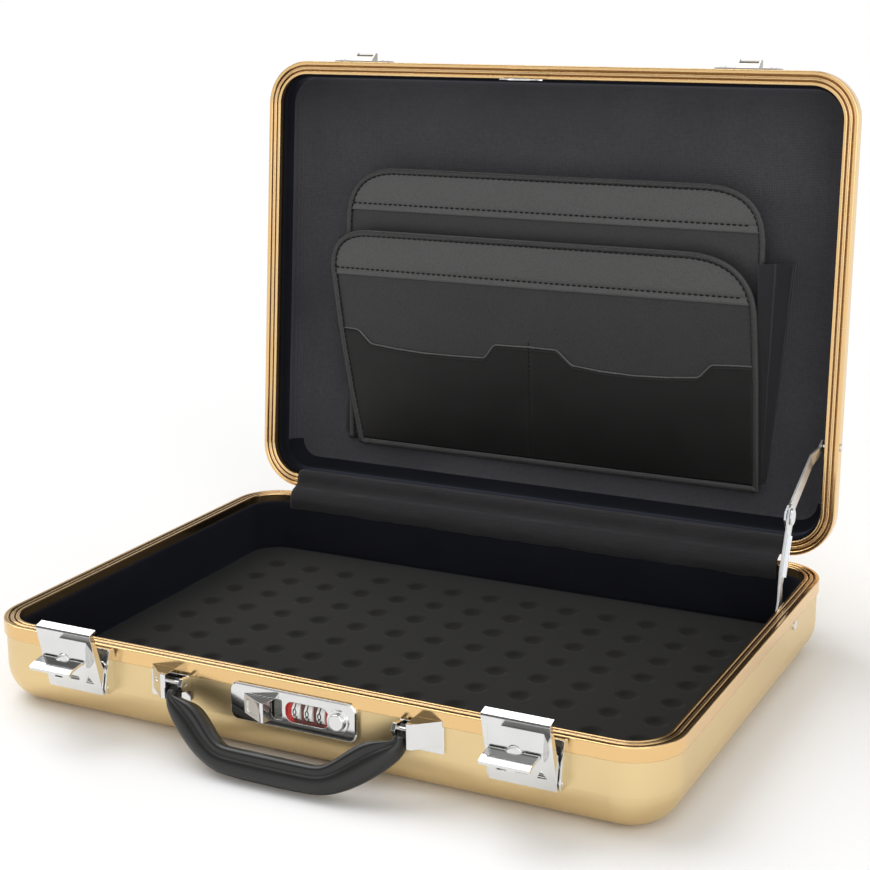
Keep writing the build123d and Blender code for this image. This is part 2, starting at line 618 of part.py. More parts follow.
# ---- handle -------------------------------------------------------------
_h = math.radians(HANDLE_LEAN)
hd = Vector(0, -math.sin(_h), -math.cos(_h))      # from the pivots to the grip
hn = Vector(0, -math.cos(_h), math.sin(_h))       # out of the grip's front face


def handle_plane(t):
    return Plane(origin=Vector(0, HANDLE_Y, HANDLE_Z) + hn * t, x_dir=(-1, 0, 0), z_dir=hn)


OUTER = [(80.5, -3.2), (80.5, 11.4), (69.0, 25.5), (44.0, 43.0), (22.0, 46.4)]
INNER = [(33.5, 29.2), (55.0, 8.0), (73.8, 8.0), (73.8, -3.2)]


def outline(o, i):
    """Closed outline from its right half: outer edge to the middle, then the inner edge back."""
    return o + [(-x, w) for x, w in o[::-1]] + [(-x, w) for x, w in i[::-1]] + i


with BuildPart() as handle_back:
    with BuildSketch(handle_plane(-6.0)) as hb_sk:
        Polygon(*outline(OUTER, INNER), align=None)
        # rounded outer and inner corners of the moulding
        fillet([v for v in hb_sk.vertices() if abs(v.X) < 76 and abs(v.Y) > 20], 7)
    extrude(amount=6.6)
    fillet(handle_back.faces().sort_by(Axis(Vector(0, 0, 0), hn))[0].edges(), 2.2)
    # thinner tongues where the arms turn on their pins
    with BuildSketch(handle_plane(-3.6)):
        with Locations((77.2, -1.0), (-77.2, -1.0)):
            Rectangle(9, 12.4)
    extrude(amount=-4, mode=Mode.SUBTRACT)
    with BuildSketch(Plane(origin=(-100, HANDLE_Y, HANDLE_Z), x_dir=(0, 1, 0), z_dir=(1, 0, 0))):
        Circle(1.56)
    extrude(amount=200, mode=Mode.SUBTRACT)
save(handle_back.part, "handle_back")

OUTER_F = [(79.4, 4.6), (79.4, 10.6), (67.4, 23.8), (42.8, 41.2), (21.6, 44.2)]
INNER_F = [(33.6, 29.4), (55.2, 8.2), (72.4, 8.2)]
with BuildPart() as handle_grip:
    with BuildSketch(handle_plane(0.65)) as hg_sk:
        Polygon(*outline(OUTER_F, INNER_F), align=None)
        fillet([v for v in hg_sk.vertices() if abs(v.X) < 76 and abs(v.Y) > 20], 6)
    extrude(amount=6.2)
    fillet(handle_grip.faces().sort_by(Axis(Vector(0, 0, 0), hn))[-1].edges(), 1.6)
    # bead along the inside of the grip
    with BuildLine(handle_plane(3.4)) as bead_path:
        FilletPolyline((58.0, 13.2), (36.2, 34.6), (-36.2, 34.6), (-58.0, 13.2), radius=9)
    bp = bead_path.wires()[0]
    with BuildSketch(Plane(origin=bp @ 0, z_dir=bp % 0, x_dir=hn)):
        with Locations((1.4, 0)):
            Circle(3.9)
    sweep(path=bp)
    # cut off whatever the bead would push into the rear moulding
    with BuildSketch(handle_plane(0.65)):
        Rectangle(300, 200)
    extrude(amount=-12, mode=Mode.SUBTRACT)
save(handle_grip.part, "handle_grip")

for s, nm in ((-1, "left"), (1, "right")):
    with BuildPart() as bracket:
        # foot plate on the wall
        with BuildSketch(front_plane(s * 85, WALL, H_BASE - 17.3)):
            RectangleRounded(28, 16.4, 1.2)
        extrude(amount=1.6)
        # wedge cap on the outer side of the arm
        with BuildSketch(Plane(origin=(0, 0, H_BASE - 20.9), x_dir=(1, 0, 0), z_dir=(0, 0, 1))):
            with BuildLine():
                Polyline((s * 98.6, WALL), (s * 98.6, WALL - 1.2), (s * 84.0, WALL - 13.6), (s * 80.9, WALL - 13.6),
                         (s * 80.9, WALL), close=True)
            make_face()
        extrude(amount=15.2)
        with BuildSketch(front_plane(s * 88, BAND, H_BASE - 4.02)):
            Rectangle(30, 10)
        extrude(amount=-4, mode=Mode.SUBTRACT)
        chamfer(bracket.edges().filter_by(Axis.Z).sort_by(Axis.Y)[:1], 0.5)
        # inner lug
        with BuildSketch(side_plane(s * 73.3 - (2.6 if s > 0 else 0))):
            with BuildLine():
                Polyline((WALL, H_BASE - 9.6), (HANDLE_Y - 2, H_BASE - 8.4), (HANDLE_Y - 4.4, HANDLE_Z), (HANDLE_Y - 2, HANDLE_Z - 4.4),
                         (WALL, HANDLE_Z - 6.4), close=True)
            make_face()
        extrude(amount=2.6)
        # pin bore through both
        with BuildSketch(side_plane(s * 70 if s > 0 else -96)):
            with Locations((HANDLE_Y, HANDLE_Z)):
                Circle(1.5)
        extrude(amount=18.0 if s > 0 else 26.0, mode=Mode.SUBTRACT)
        # tapped holes for the two screws from inside
        with BuildSketch(front_plane(0, WALL - 1.3, 0)):
            with Locations((s * 85 - 6, H_BASE - 17.5), (s * 85 + 6, H_BASE - 17.5)):
                Circle(1.5)
        extrude(amount=-3, mode=Mode.SUBTRACT)
    save(bracket.part, "handle_bracket_" + nm)

with BuildPart() as handle_pins:
    for s in (-1, 1):
        with BuildSketch(side_plane(70.9 if s > 0 else -87.8)):
            with Locations((HANDLE_Y, HANDLE_Z)):
                Circle(1.5)
        extrude(amount=16.9)
save(handle_pins.part, "handle_pins")

with BuildPart() as bracket_screws:
    for x in [s * 85 + e for s in (-1, 1) for e in (-6, 6)]:
        with BuildSketch(front_plane(x, WALL + T_SHELL, H_BASE - 17.5)):
            Circle(3.0)
        extrude(amount=-1.4)
        with BuildSketch(front_plane(x, WALL + T_SHELL, H_BASE - 17.5)):
            Circle(1.5)
        extrude(amount=T_SHELL + 1.25)
save(bracket_screws.part, "bracket_screws")

# ---- draw latches -------------------------------------------------------
PIVOT = (BAND - 4.4, H_BASE - 25.4)   # y, z of the hook's pin
FOLD = (BAND - 10.6, H_BASE - 4.0)    # y, z of the thumb tab's axle, hook upright


def lean(y, z):
    """Upright hook coordinates to the leaning, open pose."""
    a = math.radians(LATCH_LEAN)
    dy, dz = y - PIVOT[0], z - PIVOT[1]
    return (PIVOT[0] + math.cos(a) * dy - math.sin(a) * dz, PIVOT[1] + math.sin(a) * dy + math.cos(a) * dz)


def lean_plane(x, y, z, normal="x"):
    """Plane at a point given in upright hook coordinates."""
    a = math.radians(LATCH_LEAN)
    ly, lz = lean(y, z)
    if normal == "x":
        return Plane(origin=(x, ly, lz), x_dir=(0, math.cos(a), math.sin(a)), z_dir=(1, 0, 0))
    return Plane(origin=(x, ly, lz), x_dir=(1, 0, 0), z_dir=(0, -math.cos(a), -math.sin(a)))


for s, nm in ((-1, "left"), (1, "right")):
    X = s * LATCH_X
    with BuildPart() as mount:
        with BuildSketch(side_plane(X - 22)):
            with BuildLine():
                Polyline((WALL, H_BASE - 29.5), (WALL, H_BASE - 9.1), (BAND, H_BASE - 9.1), (BAND, H_BASE - 2.2),
                         (BAND - 1.0, H_BASE - 2.2), (BAND - 1.0, H_BASE - 29.5), close=True)
            make_face()
        extrude(amount=44)
        for e in (-22.0, 20.9):
            with BuildSketch(side_plane(X + e)):
                with BuildLine():
                    Polyline((BAND - 1.0, H_BASE - 2.2), (BAND - 2.2, H_BASE - 2.2), (BAND - 3.6, H_BASE - 8), (BAND - 6.6, H_BASE - 22),
                             (BAND - 7.4, H_BASE - 25.4), (BAND - 6.6, H_BASE - 28.4), (BAND - 4.4, H_BASE - 29.5),
                             (BAND - 1.0, H_BASE - 29.5), close=True)
                make_face()
            extrude(amount=1.1)
        with BuildSketch(side_plane(X - 24)):
            with Locations(PIVOT):
                Circle(1.3)
        extrude(amount=48, mode=Mode.SUBTRACT)
        with BuildSketch(front_plane(X, BAND - 3, H_BASE - 13.5)):
            with Locations((-15, 0), (15, 0)):
                Circle(1.5)
        extrude(amount=-6, mode=Mode.SUBTRACT)
    save(mount.part, "latch_" + nm + "_mount")

    with BuildPart() as hook:
        y1 = BAND - 8.6          # outer face of the hook plate, upright
        with BuildSketch(lean_plane(X - 20.4, 0, 0)):
            # front plate with the lip turned in over the rims
            with BuildLine():
                Polyline((y1, H_BASE - 28.6), (y1, H_BASE + 14.2), (y1 + 1.0, H_BASE + 15.2), (BAND - 1.9, H_BASE + 15.2),
                         (BAND - 1.9, H_BASE + 13.9), (y1 + 1.2, H_BASE + 13.9), (y1 + 1.2, H_BASE - 28.6), close=True)
            make_face()
        extrude(amount=40.8)
        # side flanges
        for e in (-20.4, 19.2):
            with BuildSketch(lean_plane(X + e, 0, 0)):
                with BuildLine():
                    Polyline((y1 + 1.2, H_BASE + 13.9), (y1 + 3.4, H_BASE + 13.9), (y1 + 4.4, H_BASE - 6.0), (BAND - 1.7, H_BASE - 23.0),
                             (BAND - 1.7, H_BASE - 26.8), (BAND - 3.4, H_BASE - 28.6), (y1 + 1.2, H_BASE - 28.6), close=True)
                make_face()
            extrude(amount=1.2)
        # raised wedge above the thumb tab, and the lugs its axle sits in
        with BuildSketch(lean_plane(X - 15.2, 0, 0)):
            with BuildLine():
                Polyline((y1, H_BASE + 9.6), (y1 - 4.0, H_BASE - 0.6), (y1 - 4.0, H_BASE - 1.2), (y1, H_BASE - 1.2), close=True)
            make_face()
        extrude(amount=30.4)
        for e in (-16.4, 15.2):
            with BuildSketch(lean_plane(X + e, 0, 0)):
                with BuildLine():
                    Polyline((y1, H_BASE + 9.6), (y1 - 4.1, H_BASE - 1.2), (y1 - 4.3, H_BASE - 5.6), (y1 - 2.0, H_BASE - 7.4),
                             (y1, H_BASE - 7.4), close=True)
                make_face()
            extrude(amount=1.2)
        with BuildSketch(lean_plane(X - 24, *FOLD)):
            Circle(1.0)
        extrude(amount=48, mode=Mode.SUBTRACT)
        with BuildSketch(lean_plane(X - 24, *PIVOT)):
            Circle(1.36)
        extrude(amount=48, mode=Mode.SUBTRACT)
        # stamped openings in the lower plate and the seat of the round boss
        with BuildSketch(lean_plane(X, y1 - 1, H_BASE - 19.5, "y")):
            with Locations((-12.0, 0), (12.0, 0)):
                Triangle(a=6.4, b=6.4, c=6.4)
            with Locations((0, 0.5)):
                SlotOverall(9.0, 3.0)
        extrude(amount=-3.2, mode=Mode.SUBTRACT)
        with BuildSketch(lean_plane(X, y1 - 6, H_BASE - 4.0, "y")):
            Circle(5.2)
        extrude(amount=-7.0, mode=Mode.SUBTRACT)
    save(hook.part, "latch_" + nm + "_hook")

    with BuildPart() as boss:
        with BuildSketch(lean_plane(X, y1 + 0.4, H_BASE - 4.0, "y")):
            Circle(5.15)
        extrude(amount=5.6)
        fillet(boss.faces().sort_by(Axis.Y)[0].edges(), 0.6)
        with BuildSketch(lean_plane(X, y1 - 5.2, H_BASE - 4.0, "y")):
            SlotOverall(6.4, 1.5)
        extrude(amount=-0.8, mode=Mode.SUBTRACT)
        with BuildSketch(lean_plane(X - 24, *FOLD)):
            Circle(1.0)
        extrude(amount=48, mode=Mode.SUBTRACT)
    save(boss.part, "latch_" + nm + "_boss")

    fy, fz = lean(*FOLD)
    with BuildPart() as tab:
        with BuildSketch(Plane(origin=(X - 15.0, fy, fz), x_dir=(0, 1, 0), z_dir=(1, 0, 0))):
            Circle(1.9)
        extrude(amount=30.0)
        with BuildSketch(Plane(origin=(X - 15.0, fy, fz), x_dir=(0, 1, 0), z_dir=(1, 0, 0))):
            with BuildLine():
                Polyline((0, 1.9), (-6.0, 1.5), (-12.0, 0.7), (-15.6, -0.3), (-17.0, -1.4), (-17.0, -3.0), (-15.8, -3.2), (-15.4, -2.2),
                         (-12.0, -0.9), (-6.0, 0.0), (0, 0.0), close=True)
            make_face()
        extrude(amount=30.0)
        with BuildSketch(Plane(origin=(X - 24, fy, fz), x_dir=(0, 1, 0), z_dir=(1, 0, 0))):
            Circle(1.06)
        extrude(amount=48, mode=Mode.SUBTRACT)
        # clearance round the boss
        with BuildSketch(Plane(origin=(X, fy, fz - 6), x_dir=(1, 0, 0), z_dir=(0, 0, 1))):
            SlotOverall(14.0, 11.6, rotation=90)
        extrude(amount=14, mode=Mode.SUBTRACT)
    save(tab.part, "latch_" + nm + "_tab")

    with BuildPart() as axle:
        with BuildSketch(Plane(origin=(X - 16.5, fy, fz), x_dir=(0, 1, 0), z_dir=(1, 0, 0))):
            Circle(1.0)
        extrude(amount=33.0)
    save(axle.part, "latch_" + nm + "_axle")

    with BuildPart() as pin:
        with BuildSketch(side_plane(X - 22.3)):
            with Locations(PIVOT):
                Circle(1.3)
        extrude(amount=44.6)
    save(pin.part, "latch_" + nm + "_pin")

with BuildPart() as latch_rivets:
    for x in [s * LATCH_X + e for s in (-1, 1) for e in (-15, 15)]:
        with BuildSketch(front_plane(x, BAND - 1.0, H_BASE - 13.5)):
            Circle(2.8)
        extrude(amount=0.7)
        with BuildSketch(front_plane(x, BAND - 1.0, H_BASE - 13.5)):
            Circle(1.45)
        extrude(amount=-1.0 - INSET - T_SHELL)
        with BuildSketch(front_plane(x, WALL + T_SHELL, H_BASE - 13.5)):
            Circle(2.6)
        extrude(amount=-1.2)
save(latch_rivets.part, "latch_rivets")

# ---- lid stay, on the right only ----------------------------------------
bw = lid_pt(0, *STAY_B)
BY, BZ = bw.Y, bw.Z
X_LOW = 217.6                  # outer face of the lower link at the base pivot
X_KN = 215.0                   # inner face of the lower link at the knuckle


def link_frame(p, q):
    dy, dz = q[0] - p[0], q[1] - p[1]
    return math.hypot(dy, dz), math.atan2(dz, dy)


L1, A1 = link_frame(STAY_A, STAY_J)
with BuildPart() as stay_lower:
    # sketch plane runs along the link; its local y is the world X
    pl = Plane(origin=(0, STAY_A[0], STAY_A[1]), x_dir=(0, math.cos(A1), math.sin(A1)),
               z_dir=(0, math.sin(A1), -math.cos(A1)))
    k = 1.0 if pl.y_dir.X > 0 else -1.0
    with BuildSketch(pl.offset(-7.2)):
        with BuildLine():
            Polyline((-5, k * X_LOW), (13, k * X_LOW), (25, k * (X_KN + 1.3)), (L1 + 8, k * (X_KN + 1.3)), (L1 + 8, k * X_KN),
                     (24.4, k * X_KN), (12.4, k * (X_LOW - 1.3)), (-5, k * (X_LOW - 1.3)), close=True)
        make_face()
    extrude(amount=14.4)
    with BuildSketch(Plane(origin=(200, STAY_A[0], STAY_A[1]), x_dir=(0, math.cos(A1), math.sin(A1)), z_dir=(1, 0, 0))):
        with BuildLine():
            Polyline((-5, -2.6), (-3.0, -4.6), (3, -4.6), (24, -3.2), (32, -5.6), (L1 - 7, -5.8), (L1 - 3, -7.0), (L1 + 4.5, -7.0),
                     (L1 + 7.8, -3), (L1 + 7.8, 3), (L1 + 4.5, 7.0), (L1 - 3, 7.0), (L1 - 7, 5.8), (32, 5.6), (24, 3.2), (3, 4.6),
                     (-3, 4.6), (-5, 2.6), close=True)
        make_face()
    extrude(amount=30, mode=Mode.INTERSECT)
    # stiffening flanges of the channel, on the outer face so that the upper link can fold flat against the inner one
    with BuildSketch(Plane(origin=(X_KN + 1.2, STAY_A[0], STAY_A[1]), x_dir=(0, math.cos(A1), math.sin(A1)), z_dir=(1, 0, 0))):
        with Locations(((30 + L1 - 12) / 2, 5.0), ((30 + L1 - 12) / 2, -5.0)):
            Rectangle(L1 - 42, 1.1)
    extrude(amount=1.2)
    for p in (STAY_A, STAY_J):
        with BuildSketch(side_plane(200)):
            with Locations(p):
                Circle(1.86)
        extrude(amount=30, mode=Mode.SUBTRACT)
save(stay_lower.part, "stay_lower")

L2, A2 = link_frame(STAY_J, (BY, BZ))
X_UP = X_KN - 0.3              # outer face of the upper link at the knuckle
X_TOP = 217.7                  # outer face of the upper link at the lid pivot
with BuildPart() as stay_upper:
    pl = Plane(origin=(0, STAY_J[0], STAY_J[1]), x_dir=(0, math.cos(A2), math.sin(A2)),
               z_dir=(0, math.sin(A2), -math.cos(A2)))
    k = 1.0 if pl.y_dir.X > 0 else -1.0
    with BuildSketch(pl.offset(-7.2)):
        with BuildLine():
            Polyline((-7.8, k * X_UP), (L2 - 17, k * X_UP), (L2 - 6, k * X_TOP), (L2 + 4.4, k * X_TOP), (L2 + 4.4, k * (X_TOP - 1.3)),
                     (L2 - 5.4, k * (X_TOP - 1.3)), (L2 - 16.4, k * (X_UP - 1.3)), (-7.8, k * (X_UP - 1.3)), close=True)
        make_face()
    extrude(amount=14.4)
    with BuildSketch(Plane(origin=(200, STAY_J[0], STAY_J[1]), x_dir=(0, math.cos(A2), math.sin(A2)), z_dir=(1, 0, 0))):
        with BuildLine():
            Polyline((-7.8, -3), (-4.5, -7.0), (3, -7.0), (9, -5.4), (L2 - 16, -4.8), (L2 - 6, -3.4), (L2 + 2.6, -3.4), (L2 + 4.2, -2),
                     (L2 + 4.2, 2), (L2 + 2.6, 3.4), (L2 - 6, 3.4), (L2 - 16, 4.8), (9, 5.4), (3, 7.0), (-4.5, 7.0), (-7.8, 3), close=True)
        make_face()
    extrude(amount=30, mode=Mode.INTERSECT)
    with BuildSketch(side_plane(200)):
        with Locations(STAY_J):
            Circle(1.8)
    extrude(amount=30, mode=Mode.SUBTRACT)
save(stay_upper.part, "stay_upper")

with BuildPart() as stay_knuckle_rivet:
    # fast in the upper link, running in the lower one
    with BuildSketch(side_plane(X_UP - 1.3)):
        with Locations(STAY_J):
            Circle(4.2)
    extrude(amount=-1.0)
    with BuildSketch(side_plane(X_UP - 1.3)):
        with Locations(STAY_J):
            Circle(1.8)
    extrude(amount=3.2)
    with BuildSketch(side_plane(X_KN + 1.3 + 0.25)):
        with Locations(STAY_J):
            Circle(5.6)
    extrude(amount=1.1)
save(stay_knuckle_rivet.part, "stay_knuckle_rivet")

with BuildPart() as stay_base_rivet:
    with BuildSketch(side_plane(W / 2 - INSET)):
        with Locations(STAY_A):
            Circle(3.3)
    extrude(amount=1.1)
    with BuildSketch(side_plane(W / 2 - INSET)):
        with Locations(STAY_A):
            Circle(1.8)
    extrude(amount=-(W / 2 - INSET - X_LOW + 1.6))
    with BuildSketch(side_plane(X_LOW - 1.3 - 0.3)):
        with Locations(STAY_A):
            Circle(3.1)
    extrude(amount=-1.0)
save(stay_base_rivet.part, "stay_base_rivet")

with BuildPart() as stay_lid_rivet:
    # headed stud in the lid's rim; its inner end stops just short of the link
    with BuildSketch(lid_plane((W / 2, STAY_B[0], STAY_B[1]), (0, 1, 0), (1, 0, 0))):
        Circle(2.6)
    extrude(amount=1.0)
    with BuildSketch(lid_plane((W / 2, STAY_B[0], STAY_B[1]), (0, 1, 0), (1, 0, 0))):
        Circle(1.2)
    extrude(amount=-(W / 2 - X_TOP - 0.35))
save(stay_lid_rivet.part, "stay_lid_rivet")
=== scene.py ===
import json
import math

import bpy
import numpy as np
from mathutils import Matrix, Vector, noise


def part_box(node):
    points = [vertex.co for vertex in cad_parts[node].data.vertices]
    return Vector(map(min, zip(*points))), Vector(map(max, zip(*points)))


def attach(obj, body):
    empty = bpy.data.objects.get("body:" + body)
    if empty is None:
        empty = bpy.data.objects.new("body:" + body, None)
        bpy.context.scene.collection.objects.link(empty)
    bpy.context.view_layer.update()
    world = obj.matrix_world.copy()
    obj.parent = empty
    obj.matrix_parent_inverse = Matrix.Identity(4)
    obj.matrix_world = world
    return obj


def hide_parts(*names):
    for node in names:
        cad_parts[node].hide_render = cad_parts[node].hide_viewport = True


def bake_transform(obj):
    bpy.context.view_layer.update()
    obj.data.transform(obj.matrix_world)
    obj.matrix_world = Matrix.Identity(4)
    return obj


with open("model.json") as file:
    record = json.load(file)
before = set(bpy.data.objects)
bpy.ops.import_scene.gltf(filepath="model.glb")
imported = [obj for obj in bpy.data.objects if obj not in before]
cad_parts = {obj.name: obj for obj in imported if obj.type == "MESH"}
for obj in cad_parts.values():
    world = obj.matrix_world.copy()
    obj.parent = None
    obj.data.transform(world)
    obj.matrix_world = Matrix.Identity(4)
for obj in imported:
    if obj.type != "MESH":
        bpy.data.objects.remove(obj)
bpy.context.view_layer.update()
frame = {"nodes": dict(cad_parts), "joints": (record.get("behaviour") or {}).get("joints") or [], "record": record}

MM = 0.001
JOINT = {j["name"]: j for j in frame["joints"]}
NODES = frame["nodes"]

# ---------------------------------------------------------------- frames
HY, HZ = JOINT["lid_hinge"]["pos_m"][1:]
_a = -math.radians(JOINT["lid_hinge"]["range_deg"][1])
CA, SA = math.cos(_a), math.sin(_a)
_lo, _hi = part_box("base_frame")
W, D, H_BASE = (_hi.x - _lo.x) / MM, (_hi.y - _lo.y) / MM, _hi.z / MM
RC, LINE = 33.0, 12.0
_lo, _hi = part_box("base_foam_pad")
FOAM_Z = _hi.z / MM


def lid(x, y, z):
    """Lid's own millimetres (y to the hinge, z into the lid from its rim) to the row frame."""
    dy, dz = y * MM - HY, z * MM + 0.00015
    return Vector((x * MM, HY + CA * dy - SA * dz, HZ + SA * dy + CA * dz))


def lid_coords(node):
    co = np.array([v.co for v in NODES[node].data.vertices], float)
    y, z = co[:, 1] - HY, co[:, 2] - HZ
    return np.stack([co[:, 0] / MM, (CA * y + SA * z + HY) / MM, (-SA * y + CA * z - 0.00015) / MM], 1)


_c = lid_coords("lid_shell")
H_LID = _c[:, 2].max()
LZ = H_LID - 3.6

# ---------------------------------------------------------------- materials


class Mat:
    """Small builder round a Principled shader."""

    def __init__(self, name, base, rough=0.5, metal=0.0, coord="Object"):
        self.m = bpy.data.materials.new(name)
        self.m.use_nodes = True
        self.t = self.m.node_tree
        self.b = self.t.nodes["Principled BSDF"]
        self.b.inputs["Metallic"].default_value = metal
        self.b.inputs["Roughness"].default_value = rough
        self.b.inputs["Base Color"].default_value = (*base, 1)
        self.base, self.rough = base, rough
        self.tc = self.t.nodes.new("ShaderNodeTexCoord").outputs[coord]
        self.height = None

    def node(self, kind, **inputs):
        n = self.t.nodes.new(kind)
        for k, v in inputs.items():
            k = k.replace("_", " ")
            if isinstance(v, bpy.types.NodeSocket):
                self.t.links.new(v, n.inputs[k])
            else:
                n.inputs[k].default_value = v
        return n

    def link(self, a, b):
        self.t.links.new(a, b)

    def scaled(self, x, y, z, rot=(0, 0, 0)):
        n = self.node("ShaderNodeMapping", Vector=self.tc)
        n.inputs["Scale"].default_value = (x, y, z)
        n.inputs["Rotation"].default_value = rot
        return n.outputs[0]

    def noise(self, scale, detail=3.0, rough=0.55, vec=None):
        return self.node("ShaderNodeTexNoise", Vector=vec or self.tc, Scale=scale, Detail=detail, Roughness=rough).outputs["Fac"]

    def cells(self, scale, vec=None, feature="F1"):
        n = self.node("ShaderNodeTexVoronoi", Vector=vec or self.tc, Scale=scale)
        n.feature = feature
        return n.outputs["Distance"]

    def wave(self, scale, vec, distortion=0.0, direction="X"):
        n = self.node("ShaderNodeTexWave", Vector=vec, Scale=scale, Distortion=distortion)
        n.bands_direction = direction
        n.wave_profile = "SIN"
        return n.outputs["Fac"]

    def span(self, fac, a, b, lo=0.0, hi=1.0):
        n = self.t.nodes.new("ShaderNodeMapRange")
        self.link(fac, n.inputs["Value"])
        for k, v in (("From Min", lo), ("From Max", hi), ("To Min", a), ("To Max", b)):
            n.inputs[k].default_value = v
        return n.outputs[0]

    def math(self, op, a, b):
        n = self.t.nodes.new("ShaderNodeMath")
        n.operation = op
        for i, v in enumerate((a, b)):
            if isinstance(v, bpy.types.NodeSocket):
                self.link(v, n.inputs[i])
            else:
                n.inputs[i].default_value = v
        return n.outputs[0]

    def mix(self, fac, a, b):
        n = self.t.nodes.new("ShaderNodeMix")
        n.data_type = "RGBA"
        self.link(fac, n.inputs[0])
        for i, v in ((6, a), (7, b)):
            if isinstance(v, bpy.types.NodeSocket):
                self.link(v, n.inputs[i])
            else:
                n.inputs[i].default_value = (*v, 1)
        return n.outputs[2]

    def colour(self, out):
        self.link(out, self.b.inputs["Base Color"])
        return self

    def roughness(self, fac, a, b):
        self.link(self.span(fac, a, b), self.b.inputs["Roughness"])
        return self

    def edges(self, radius):
        """0 on flat faces, up to 1 on sharp edges."""
        bv = self.t.nodes.new("ShaderNodeBevel")
        bv.samples = 4
        bv.inputs["Radius"].default_value = radius
        geo = self.t.nodes.new("ShaderNodeNewGeometry")
        dot = self.t.nodes.new("ShaderNodeVectorMath")
        dot.operation = "DOT_PRODUCT"
        self.link(bv.outputs[0], dot.inputs[0])
        self.link(geo.outputs["Normal"], dot.inputs[1])
        self.bevel = bv.outputs[0]
        return self.span(dot.outputs["Value"], 1.0, 0.0, 0.86, 0.995)

    def bump(self, fac, strength, distance):
        n = self.t.nodes.new("ShaderNodeBump")
        n.inputs["Strength"].default_value = strength
        n.inputs["Distance"].default_value = distance
        self.link(fac, n.inputs["Height"])
        if self.height is not None:
            self.link(self.height, n.inputs["Normal"])
        elif getattr(self, "bevel", None) is not None:
            self.link(self.bevel, n.inputs["Normal"])
        self.height = n.outputs[0]
        self.link(self.height, self.b.inputs["Normal"])
        return self

    def set(self, **kw):
        for k, v in kw.items():
            self.b.inputs[k.replace("_", " ")].default_value = v
        return self


def dim(c, k):
    return tuple(min(1.0, x * k) for x in c)


def satin_gold(name, base, rough, grain, groove_shade=None):
    """Anodised aluminium: fine blasted grain, slow colour drift, worn bright edges; an AO mask paints shade into the
    grooves.
    """
    m = Mat(name, base, rough, 1.0)
    edge = m.edges(0.0007)
    drift = m.noise(5.0, 1.0)
    c = m.mix(drift, dim(base, 0.96), dim(base, 1.03))
    if groove_shade:
        # painted shade: an ambient-occlusion mask darkens the colour in grooves and recesses towards the groove shade
        # colour
        ao = m.t.nodes.new("ShaderNodeAmbientOcclusion")
        ao.samples = 6
        ao.only_local = True
        ao.inputs["Distance"].default_value = 0.0022
        c = m.mix(m.span(ao.outputs["AO"], 1.0, 0.0, 0.45, 0.93), c, groove_shade)
    m.colour(m.mix(m.math("MULTIPLY", edge, m.span(m.noise(120.0, 4.0), 0.0, 0.5)), c, (0.93, 0.84, 0.66)))
    streak = m.noise(1.0, 3.0, 0.6, m.scaled(*grain))
    m.roughness(m.math("ADD", m.math("MULTIPLY", streak, 0.7), m.math("MULTIPLY", m.noise(35.0, 5.0), 0.3)), rough - 0.05, rough + 0.07)
    m.bump(m.noise(2600.0, 2.0), 0.10, 0.00006)
    return m.m


def bright_metal(name, base, rough, wear=0.5, grain=(900, 60, 900)):
    m = Mat(name, base, rough, 1.0)
    edge = m.edges(0.0004)
    smudge = m.noise(60.0, 4.0)
    m.colour(m.mix(m.math("MULTIPLY", edge, wear), m.mix(smudge, dim(base, 0.88), base), (0.95, 0.95, 0.95)))
    fine = m.noise(1.0, 3.0, 0.6, m.scaled(*grain))
    m.roughness(m.math("ADD", m.math("MULTIPLY", smudge, 0.5), m.math("MULTIPLY", fine, 0.5)), rough * 0.6, rough * 1.7)
    m.bump(fine, 0.05, 0.00006)
    return m.m


def plastic(name, base, rough, grain=1500.0, strength=0.12, edge_colour=None):
    m = Mat(name, base, rough)
    edge = m.edges(0.0006)
    drift = m.noise(40.0, 3.0)
    m.colour(m.mix(m.math("MULTIPLY", edge, 0.35), m.mix(drift, dim(base, 0.85), dim(base, 1.12)), edge_colour or dim(base, 1.8)))
    m.roughness(m.math("ADD", m.math("MULTIPLY", m.noise(22.0, 4.0), 0.6), m.math("MULTIPLY", m.noise(grain, 2.0), 0.4)), rough - 0.06, rough + 0.10)
    m.bump(m.cells(grain), strength, 0.00008)
    m.set(Specular_IOR_Level=0.5)
    return m.m


def cloth(name, base, light, rough=0.9, weave=1100.0, sheen=0.25, rot=(0, 0, 0), strength=0.35):
    """Close plain weave, with slubs and a soft nap."""
    m = Mat(name, base, rough)
    v = m.scaled(1, 1, 1, rot)
    warp, weft = m.wave(weave / 6.283, v, 0.6, "X"), m.wave(weave / 6.283, v, 0.6, "Z")
    thread = m.math("MAXIMUM", warp, weft)
    slub = m.noise(420.0, 4.0)
    tone = m.math("ADD", m.math("MULTIPLY", thread, 0.35), m.math("MULTIPLY", slub, 0.65))
    patch = m.noise(9.0, 3.0)
    m.colour(m.mix(m.math("MULTIPLY", tone, m.span(patch, 0.7, 1.3, 0.3, 0.7)), base, light))
    m.roughness(slub, rough - 0.1, min(1.0, rough + 0.08))
    m.bump(thread, strength, 0.00012)
    m.bump(m.noise(700.0, 4.0), strength * 0.8, 0.00012)
    m.bump(m.noise(28.0, 3.0), 0.10, 0.0008)
    m.set(Sheen_Weight=sheen, Sheen_Roughness=0.5, Specular_IOR_Level=0.25)
    m.b.inputs["Sheen Tint"].default_value = (0.75, 0.75, 0.8, 1)
    return m.m


